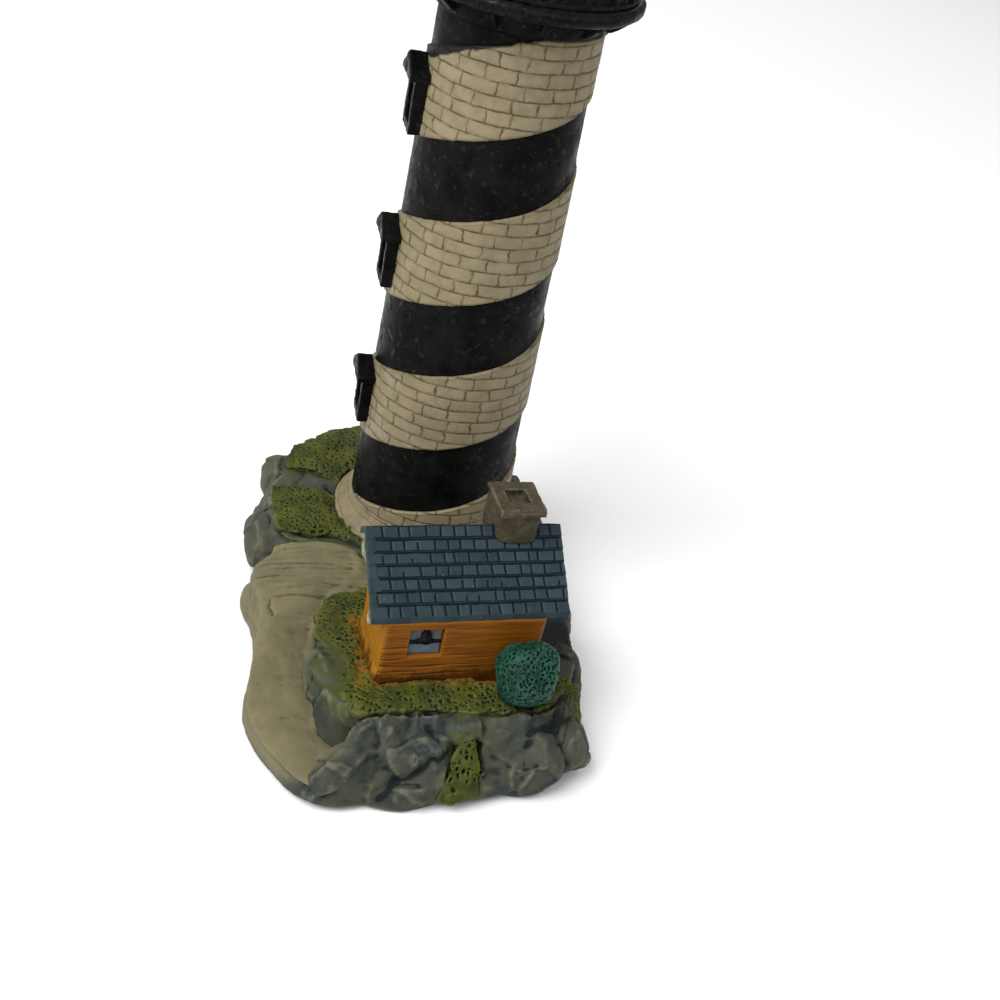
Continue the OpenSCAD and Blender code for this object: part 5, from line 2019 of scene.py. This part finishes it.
@dataclass
class Lantern:
    """Everything from the gallery's brackets to the finial."""

    paints: Paints
    deck_z: float = 93.4
    parapet_r: float = 14.3
    parapet_t: float = 0.8
    parapet_h: float = 4.6
    posts: int = 20
    bars: int = 10
    glass_r: float = 5.9
    glass_z: float = 102.9
    glass_h: float = 6.6
    kerb_h: float = 0.6
    rail_h: float = 0.7
    ring_h: float = 0.5
    worn: Relief = worn_relief(1.8, 0.07)
    fine_nodes: tuple[str, ...] = ("gallery_corbel", "lantern_finial")
    turned_nodes: tuple[str, ...] = (
        "gallery_corbel", "gallery_deck", "watch_room", "lantern_deck",
        "lantern_curb", "lantern_roof", "lantern_finial",
    )

    def build(self) -> None:
        """Makes every piece above the shaft."""
        fine, broad = Casting(0.14, 2, self.worn, 4, 0.07), Casting(0.24, 3, self.worn, 5, 0.08)
        for node in self.turned_nodes:
            self._turned(node, fine if node in self.fine_nodes else broad)
        ring = self._ring_tree()
        self._parapet(ring)
        self._bars(ring)
        self._glass()

    def _turned(self, node: str, cast: Casting) -> None:
        """One of the turned pieces.

        Args:
            node: The CAD node that it stands for.
            cast: How it is cast.
        """
        hand_over(f"{node}_cast", cast.skin([cad_mesh(node)]), self.paints.black, (node,))

    def _ring_tree(self) -> NodeTree:
        """Geometry tree of equal posts set upright round a ring.

        Returns:
            The tree.
        """
        net, wire, sink = new_group(
            "Posts round a ring",
            "GeometryNodeTree",
            [
                ("Count", WHOLE, 12),
                ("Radius", FLOAT, 10.0),
                ("Height", FLOAT, 0.0),
                ("Size", VECTOR, (1.0, 1.0, 1.0)),
                ("Paint", PAINT, None),
            ],
            [("Geometry", SHAPE)],
        )
        sizes = {"Vertices": wire["Count"], "Radius": wire["Radius"]}
        ring = net.add("GeometryNodeMeshCircle", {"fill_type": "NONE"}, **sizes)
        upwards = net.vector(0.0, 0.0, wire["Height"])
        raised = net.add("GeometryNodeSetPosition", None, Geometry=net.out(ring), Offset=upwards)
        post = net.add("GeometryNodeMeshCube", None, Size=wire["Size"])
        index = net.out(net.add("GeometryNodeInputIndex"))
        turn = index * (2 * math.pi) / wire["Count"]
        spin = net.out(net.add("FunctionNodeEulerToRotation", None, Euler=net.vector(0.0, 0.0, turn)))
        laid = net.add("GeometryNodeInstanceOnPoints", None, Points=net.out(raised), Instance=net.out(post))
        net.put(laid.inputs["Rotation"], spin)
        net.finish(net.out(laid), wire["Paint"], sink)
        return net.tree

    def _parapet(self, ring: NodeTree) -> None:
        """The parapet: a turned wall with kerb and rail, and posts between them.

        Args:
            ring: The tree of posts.
        """
        out, inner = self.parapet_r, self.parapet_r - self.parapet_t - 0.4
        face, z, top = inner + self.parapet_t, self.deck_z, self.deck_z + self.parapet_h
        kerb, rail = z + self.kerb_h, top - self.rail_h
        lower = [(inner, z), (out, z), (out, kerb), (face, kerb)]
        upper = [(face, rail), (out, rail), (out, top), (inner, top), (inner, z)]
        wall = lathe("wall", np.array(lower + upper), 144)
        sizes = {
            "Count": self.posts,
            "Radius": (face + out) / 2 - 0.1,
            "Height": z + self.parapet_h / 2,
            "Size": (out - face + 0.2, 0.8, self.parapet_h - 0.3),
            "Paint": self.paints.black,
        }
        mesh = Casting(0.2, relief=self.worn).skin([wall, grown(ring, sizes)])
        hand_over("parapet_cast", mesh, self.paints.black, ("gallery_parapet",))

    def _bars(self, ring: NodeTree) -> None:
        """Glazing bars and hoops round the lantern.

        Args:
            ring: The tree of posts.
        """
        r, z, top = self.glass_r + 0.05, self.glass_z, self.glass_z + self.glass_h
        out, high = r + 0.6, self.ring_h
        hoops = [
            lathe("hoop", np.array([(r, a), (out, a), (out, a + high), (r, a + high), (r, a)]), 96)
            for a in (z, (z + top) / 2 - high / 2, top - high)
        ]
        sizes = {
            "Count": self.bars,
            "Radius": r + 0.35,
            "Height": (z + top) / 2,
            "Size": (0.7, 0.55, self.glass_h - 0.2),
            "Paint": self.paints.black,
        }
        mesh = Casting(0.12, crest_height=0.06).skin([*hoops, grown(ring, sizes)])
        hand_over("glazing_bars_cast", mesh, self.paints.black, ("lantern_bars",))

    def _glass(self) -> None:
        """The lantern's painted glazing, slightly uneven."""
        z, top, r = self.glass_z, self.glass_z + self.glass_h, self.glass_r
        profile = [(0, z), (r - 0.1, z), (r, z + 0.1), (r, top - 0.1), (r - 0.1, top), (0, top)]
        mesh = lathe("glass", dense(profile, 0.35), 120)
        p, n = read_points(mesh), read_normals(mesh)
        write_points(mesh, p + n * (NOISE.waves(p, 1.5, 2) * 0.05 - 0.03)[:, None])
        store(mesh, "relief", crests(mesh, 4, 0.06))
        hand_over("lamp_glazing", mesh, self.paints.lamp, ("lantern_glazing",))


# The cottage


@dataclass
class Cottage:
    """Boarded walls, slated roof, chimney, window and door, in the cottage's own frame."""

    paints: Paints
    at: tuple[float, float] = (-2.0, -30.6)
    turn: float = 5.0
    shift: float = -0.45
    wall_l: float = 22.5
    front: float = 9.7
    back: float = 1.3
    seat_z: float = 9.4
    ridge_z: float = 30.066
    slope: float = 0.78
    run: float = 10.4
    roof_t: float = 1.1
    short: float = 0.928
    slack: float = 0.02
    slating: Slating = Slating()
    window: tuple[float, float, float, float] = (-5.7, 4.4, 15.7, 20.1)

    def frame(self) -> Matrix:
        """The cottage's frame in the row's."""
        return Matrix.Translation((*self.at, 0)) @ Matrix.Rotation(math.radians(self.turn), 4, "Z")

    def placed(self, mesh: Mesh) -> Mesh:
        """Moves a mesh from the cottage's frame into the row's."""
        mesh.transform(self.frame())
        return mesh

    def reshape(self, mesh: Mesh, change: Callable[[Array], Array]) -> None:
        """Changes a placed mesh by what its points do in the cottage's frame.

        Args:
            mesh: The mesh, which is changed.
            change: New places for points.
        """
        mesh.transform(self.frame().inverted())
        write_points(mesh, change(read_points(mesh)))
        mesh.transform(self.frame())

    def build(self) -> None:
        """Makes every piece of the cottage."""
        self._walls()
        self._roof()
        self._chimney()
        self._trim()

    def _walls(self) -> None:
        """Walls with scratched grain, a sunk window and a spread foot."""
        half_l, middle = self.wall_l / 2, (self.back - self.front) / 2
        rim, way = rounded_plan((-half_l, -self.front), (half_l, self.back), 0.8, 0.15)
        under_ridge = self.ridge_z - self.roof_t - self.slack
        top = self.ridge_z - self.roof_t - self.slope * np.abs(rim[:, 1]) - self.slack
        z = self.seat_z + (top[None, :] - self.seat_z) * np.linspace(0, 1, 96)[:, None]
        grid = np.stack([np.broadcast_to(rim[:, 0], z.shape), np.broadcast_to(rim[:, 1], z.shape), z], -1)
        p = grid.reshape(-1, 3)
        n = np.tile(np.concatenate([way, 0 * way[:, :1]], 1), (len(z), 1))
        side = np.abs(n[:, 0]) > 0.7
        long_way = np.where(side, p[:, 1], p[:, 0])
        strokes = np.stack([long_way * 0.1 + 3.0, p[:, 2] * 2.4 + 0.1 * NOISE.waves(p, 4.0), side * 7.0], 1)
        groove = ease(0.12, 0.4, NOISE.waves(strokes, 1.0, 2))
        deep = np.where(side, 0.25, 1.0) * (0.3 + 0.7 * ease(19.5, 14.0, p[:, 2])) * ease(7.0, -3.0, p[:, 0])
        fine = NOISE.waves(np.stack([long_way * 0.2, p[:, 2] * 4.2, side * 5.0], 1), 1.0, 2)
        x0, w, z0, z1 = self.window
        inside = np.maximum(np.abs(p[:, 0] - x0 + self.shift) - w / 2, np.maximum(z0 - p[:, 2], p[:, 2] - z1))
        sunk = ease(0.16, 0.0, inside) * (p[:, 1] < -self.front + 0.1)
        foot = ease(13.6, 10.4, p[:, 2] + 0.7 * NOISE.waves(p, 2.0))
        push = NOISE.waves(p, 5.0) * 0.12 - 0.2 * groove * deep + fine * 0.03
        push += 0.6 * foot * np.where(p[:, 0] < -half_l + 0.2, 1.3, 0.5) - 0.85 * sunk
        grid = (p + n * push[:, None]).reshape(grid.shape)
        hub = np.array([0, middle, self.seat_z]) * np.ones((1, len(rim), 3))
        apex = np.stack([rim[:, 0], 0 * rim[:, 0], np.full(len(rim), under_ridge)], -1)[None]
        mesh = tube_mesh("walls", np.concatenate([hub, grid, apex]))
        mesh.transform(Matrix.Translation((self.shift, 0, 0)))
        store(mesh, "relief", crests(mesh, 4, 0.08))
        p = read_points(mesh)
        # Mask of the left gable, which its paint lays lighter as painted light.
        store(mesh, "gable", ease(-half_l + 0.3, -half_l - 0.6, p[:, 0]))
        ragged = NOISE.waves(p * np.array([1.0, 1.0, 0.5]), 1.2, 3)
        # Share of darker paint towards the foot of the walls.
        store(mesh, "darker_foot", ease(13.4, 11.9, p[:, 2] + 0.9 * ragged))
        hand_over("board_walls", self.placed(mesh), self.paints.board, ("cottage_walls",))

    def _slate_tree(self) -> NodeTree:
        """Geometry tree that carves courses of slates into a roof, from the eaves to the ridge.

        Returns:
            The tree.
        """
        net, wire, sink = new_group(
            "Carved slates",
            "GeometryNodeTree",
            [
                ("Geometry", SHAPE, None),
                ("Depth", FLOAT, 0.16),
                ("Swell", FLOAT, 0.12),
                ("Paint", PAINT, None),
            ],
            [("Geometry", SHAPE)],
        )
        place = net.out(net.add("GeometryNodeInputPosition"))
        normal = net.out(net.add("GeometryNodeInputNormal"))
        x, y, _ = net.parts(place)
        up = net.step(net.parts(normal)[2], 0.2, 0.5) * net.step(y, 0.35, 0.05)
        wave = (net.noise(net.vector(x, y * 0.4, 3.0), 0.28, 2.0) - 0.5) * 0.22
        level = (y + self.slating.run + wave) / (self.slating.run / self.slating.courses)
        chip = (net.noise(place, 3.0, 2.0) - 0.5) * 0.1
        mask, _ = self.slating.cut(net, level, x, chip, 0.07)
        swell = (net.noise(place, 0.7, 3.0) - 0.5) * wire["Swell"]
        left = x + self.slating.length / 2
        lift = swell * net.step(left, 0.0, 0.8) - mask * up * wire["Depth"]
        offset = net.add("ShaderNodeVectorMath", {"operation": "SCALE"}, i0=normal)
        net.put(offset.inputs["Scale"], lift)
        stored = net.keep(wire["Geometry"], (("up", up), ("level", level), ("along", x)))
        moved = net.add("GeometryNodeSetPosition", None, Geometry=stored, Offset=net.out(offset))
        net.finish(net.out(moved), wire["Paint"], sink)
        return net.tree

    def worn_verge(self, p: Array) -> Array:
        """Lets a verge board out at its two ends.

        Args:
            p: Its points in the cottage's frame.

        Returns:
            The new points.
        """
        share = -p[:, 1] / (self.run * self.short)
        out = 0.55 * (ease(0.12, 0.03, np.abs(share - 0.15)) + ease(0.82, 0.88, share))
        return p + np.stack([np.sign(p[:, 0]) * out, 0 * out, 0 * out], 1)

    def drawn_in(self, p: Array) -> Array:
        """Draws the front slope up towards the ridge.

        Args:
            p: Points in the cottage's frame.

        Returns:
            The new points.
        """
        up = np.where(p[:, 1] < 0, -p[:, 1], 0) * (1 - self.short)
        return p + np.stack([0 * up, up, up * self.slope], 1)

    def _roof(self) -> None:
        """The roof: cast in one, with its slates carved in."""
        blank = cad_mesh("cottage_roof")
        blank.transform(self.frame().inverted())
        cast = Casting(0.125, 3, worn_relief(3.0, 0.06, 2)).skin([blank])
        write_points(cast, self.drawn_in(read_points(cast)))
        mesh = grown(self._slate_tree(), {"Paint": self.paints.slate}, cast)
        store(mesh, "relief", crests(mesh, 4, 0.08))
        hand_over("slate_roof", self.placed(mesh), self.paints.slate, ("cottage_roof",))

    def _chimney(self) -> None:
        """Stack and cap, with the mould's soft edges."""
        worn = Casting(0.14, 3, worn_relief(2.2, 0.17), 5, 0.07)
        for node in ("chimney_stack", "chimney_cap"):
            mesh = worn.skin([cad_mesh(node)])
            hand_over(f"{node}_cast", mesh, self.paints.taupe, (node,))

    def blob(self, p: Array, n: Array) -> Array:
        """Paint pooled round the crossing of the window's bars, thin at their ends.

        Args:
            p: Points of the casting.
            n: Their normals, not used.

        Returns:
            The height added to each point.
        """
        away = np.linalg.norm(p - p.mean(0) - np.array([0, 0, 0.4]), axis=1)
        return 0.5 * ease(1.7, 0.2, away + 0.5 * NOISE.waves(p, 1.1, 2)) - 0.06

    def _trim(self) -> None:
        """Verge boards, window and door."""
        worn = worn_relief(0.9, 0.07)
        trims = (
            ("left_barge_boards", self.paints.cream, Slot.TRIM, 0.15, worn),
            ("right_barge_boards", self.paints.cream, Slot.TRIM, 0.15, worn),
            ("cottage_window_pane", self.paints.pane, Slot.PANE, 0.1, worn),
            ("cottage_window_bars", self.paints.black, Slot.BLACK, 0.08, self.blob),
            ("cottage_door", self.paints.brown, Slot.DOOR, 0.12, worn),
        )
        for node, paint, slot, voxel, relief in trims:
            verge = "barge" in node
            blank = cad_mesh(node)
            if verge:
                self.reshape(blank, self.drawn_in)
            mesh = Casting(voxel, relief=relief, crest_height=0.06).skin([blank])
            if verge:
                self.reshape(mesh, self.worn_verge)
            hand_over(f"{node}_cast", mesh, paint, (node,))


# The studio


@dataclass
class Studio:
    """Floor, lights and camera."""

    camera_at: Point = (-0.044564, -0.172420, 0.135267)
    right: Point = (0.9650, -0.1824, 0.1883)
    down: Point = (0.0461, -0.5892, -0.8067)
    lens: float = 49.10
    sensor: float = 36.0
    aim: Point = (0.0, -0.01, 0.04)
    lamps: tuple[tuple[str, Point, float, float], ...] = (
        ("key", (-0.42, -0.22, 0.55), 0.5, 7.0),
        ("fill", (0.42, -0.35, 0.5), 0.9, 2.2),
        ("back", (0.1, 0.6, 0.5), 0.6, 1.5),
    )

    def build(self) -> None:
        """Sets up the studio."""
        scene = bpy.context.scene
        scene.view_settings.view_transform = "Standard"
        scene.view_settings.look = "None"
        self._floor()
        self._lights()
        self._camera()

    def _floor(self) -> None:
        """A pale floor, far wider than the view."""
        bm = bmesh.new()
        bmesh.ops.create_grid(bm, x_segments=2, y_segments=2, size=4.0)
        mesh = from_bmesh("floor", bm)
        material = bpy.data.materials.new("Pale floor")
        material.use_nodes = True
        shader = material.node_tree.nodes["Principled BSDF"]
        shader.inputs["Base Color"].default_value = (0.86, 0.86, 0.86, 1)
        shader.inputs["Roughness"].default_value = 0.9
        shader.inputs["Specular IOR Level"].default_value = 0.1
        mesh.materials.append(material)
        new_object("floor", mesh)

    def _lights(self) -> None:
        """A broad key light from the upper left, a weak fill and a pale room."""
        for name, at, size, power in self.lamps:
            lamp = bpy.data.lights.new(name, "AREA")
            lamp.size, lamp.energy = size, power
            obj = bpy.data.objects.new(name, lamp)
            obj.location = at
            obj.rotation_euler = (Vector(self.aim) - Vector(at)).to_track_quat("-Z", "Y").to_euler()
            bpy.context.scene.collection.objects.link(obj)
        world = bpy.data.worlds.new("room")
        world.use_nodes = True
        world.node_tree.nodes["Background"].inputs["Color"].default_value = (1, 1, 1, 1)
        world.node_tree.nodes["Background"].inputs["Strength"].default_value = 0.38
        bpy.context.scene.world = world

    def _camera(self) -> None:
        """The photograph's viewpoint."""
        data = bpy.data.cameras.new("camera")
        data.lens, data.sensor_width, data.sensor_fit = self.lens, self.sensor, "HORIZONTAL"
        data.clip_start, data.clip_end = 0.005, 20.0
        camera = bpy.data.objects.new("camera", data)
        right = Vector(self.right).normalized()
        back = right.cross(-Vector(self.down)).normalized()
        up = back.cross(right)
        axes = Matrix((right, up, back)).transposed()
        camera.matrix_world = Matrix.Translation(self.camera_at) @ axes.to_4x4()
        bpy.context.scene.collection.objects.link(camera)
        bpy.context.scene.camera = camera


def main() -> None:
    """Builds the figurine's looks and its studio."""
    logging.basicConfig(level=logging.INFO, format="%(message)s")
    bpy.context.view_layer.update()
    paints = Paints()
    for assembly in (Ground(paints), Tower(paints), Lantern(paints), Cottage(paints), Studio()):
        assembly.build()
        LOG.info("%s done", type(assembly).__name__)


if __name__ == "__main__":
    main()
